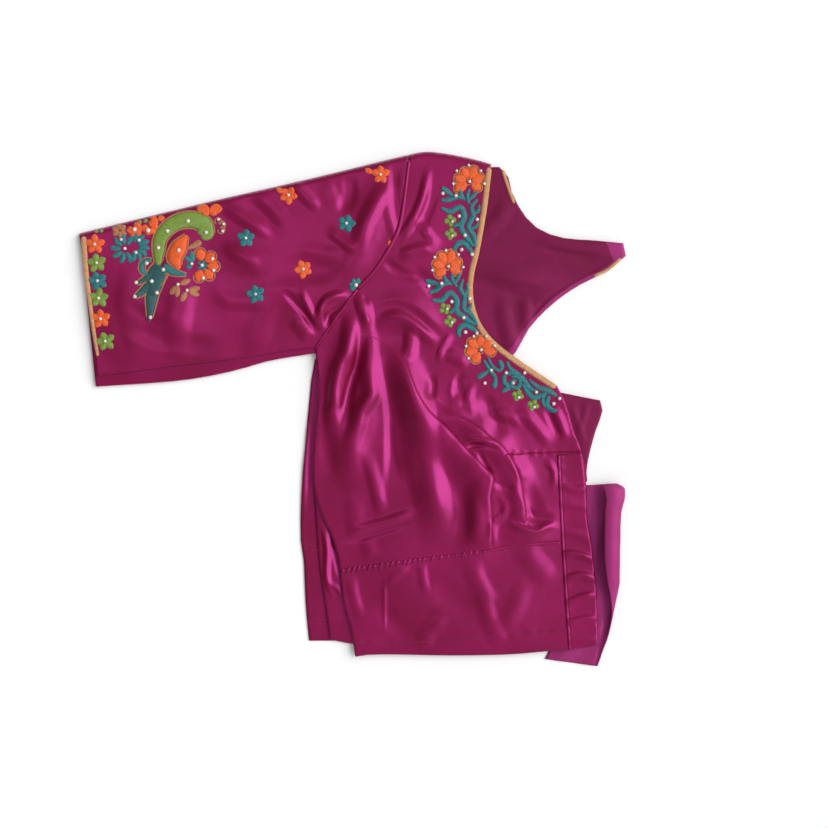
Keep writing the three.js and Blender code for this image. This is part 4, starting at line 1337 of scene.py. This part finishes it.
SEAM_SINK = 2.5            # a corded seam reaches this far down between its panels
WAIST = [(-8, -126), (21, -122), (55, -117), (81, -114), (106, -110), (131, -106), (162, -104)]
band_work.stroke("satin", WAIST, [2.6, 2.6], rise=0.35, sink=SEAM_SINK)
gathered_seam(band_work, "satin", WAIST[:3], pitch=4.2, width=2.6, length=6.0, lean=0.5)
gathered_seam(band_work, "satin", WAIST[2:5], pitch=5.6, width=2.4, length=5.0, lean=0.6)
band_stitches = band_work.finish()
armhole_work = Needlework("armhole", lambda xy: (front_surface(xy) + sleeve_surface(xy)) / 2)
seam = np.array(ARMHOLE) - (0.9, 0)
armhole_work.stroke("satin", seam[:5], [3.0, 3.4, 4.0, 3.4], rise=1.2, sink=SEAM_SINK)
armhole_work.stroke("satin", seam[4:], [3.0, 2.6, 2.2], rise=0.8, sink=SEAM_SINK)
armhole_seam = armhole_work.finish()
placket_work = Needlework("placket", placket_surface)
stitch_line(placket_work, PLACKET_STITCHES)
placket_stitches = placket_work.finish()


# ---------------------------------------------------------- floor, lights
FLOOR_REACH = 20.0


def floor():
    mesh = bpy.data.meshes.new("floor")
    corners = [(FLOOR_REACH * x, FLOOR_REACH * y, 0) for x, y in ((-1, -1), (1, -1), (1, 1), (-1, 1))]
    mesh.from_pydata(corners, [], [(0, 1, 2, 3)])
    m = Nodes("floor")
    m.set(Base_Color=(0.93, 0.93, 0.93, 1.0), Roughness=0.8, Specular_IOR_Level=0.2)
    mesh.materials.append(m.material)
    ground = bpy.data.objects.new("floor", mesh)
    bpy.context.scene.collection.objects.link(ground)


def sun(name, side, from_zenith, power, softness):
    """A far, soft light: on which side it stands, and its angle in degrees from straight up."""
    data = bpy.data.lights.new(name, "SUN")
    data.energy = power
    data.angle = math.radians(softness)
    light = bpy.data.objects.new(name, data)
    place = Vector((*side, math.hypot(*side) / math.tan(math.radians(from_zenith))))
    light.rotation_euler = place.to_track_quat("Z", "Y").to_euler()
    light.location = place
    bpy.context.scene.collection.objects.link(light)


def panel(name, place, size, power):
    """A soft panel that looks straight down, seen only as a sheen on the flat of the sleeve."""
    data = bpy.data.lights.new(name, "AREA")
    data.shape = "RECTANGLE"
    data.size, data.size_y = size
    data.energy = power
    light = bpy.data.objects.new(name, data)
    light.location = place
    bpy.context.scene.collection.objects.link(light)


def sky(straight_up, to_right, to_shoulder):
    """A pale sky that brightens to one side."""
    world = bpy.data.worlds.new("studio")
    bpy.context.scene.world = world
    world.use_nodes = True
    tree = world.node_tree
    direction = tree.nodes.new("ShaderNodeTexCoord").outputs["Generated"]
    slope = tree.nodes.new("ShaderNodeVectorMath")
    slope.operation = "DOT_PRODUCT"
    slope.inputs[1].default_value = (to_right, to_shoulder, 0)
    tree.links.new(direction, slope.inputs[0])
    level = tree.nodes.new("ShaderNodeMath")
    level.inputs[1].default_value = straight_up
    tree.links.new(slope.outputs["Value"], level.inputs[0])
    background = tree.nodes["Background"]
    background.inputs["Color"].default_value = (1, 1, 1, 1)
    tree.links.new(level.outputs["Value"], background.inputs["Strength"])


floor()
sun("key", side=(1.0, 0.2), from_zenith=46, power=2.2, softness=52)
panel("sheen", place=(-0.36, 0.38, 1.9), size=(0.62, 0.42), power=1.5)
sky(straight_up=0.58, to_right=0.45, to_shoulder=-0.15)
bpy.context.scene.view_settings.view_transform = "Standard"
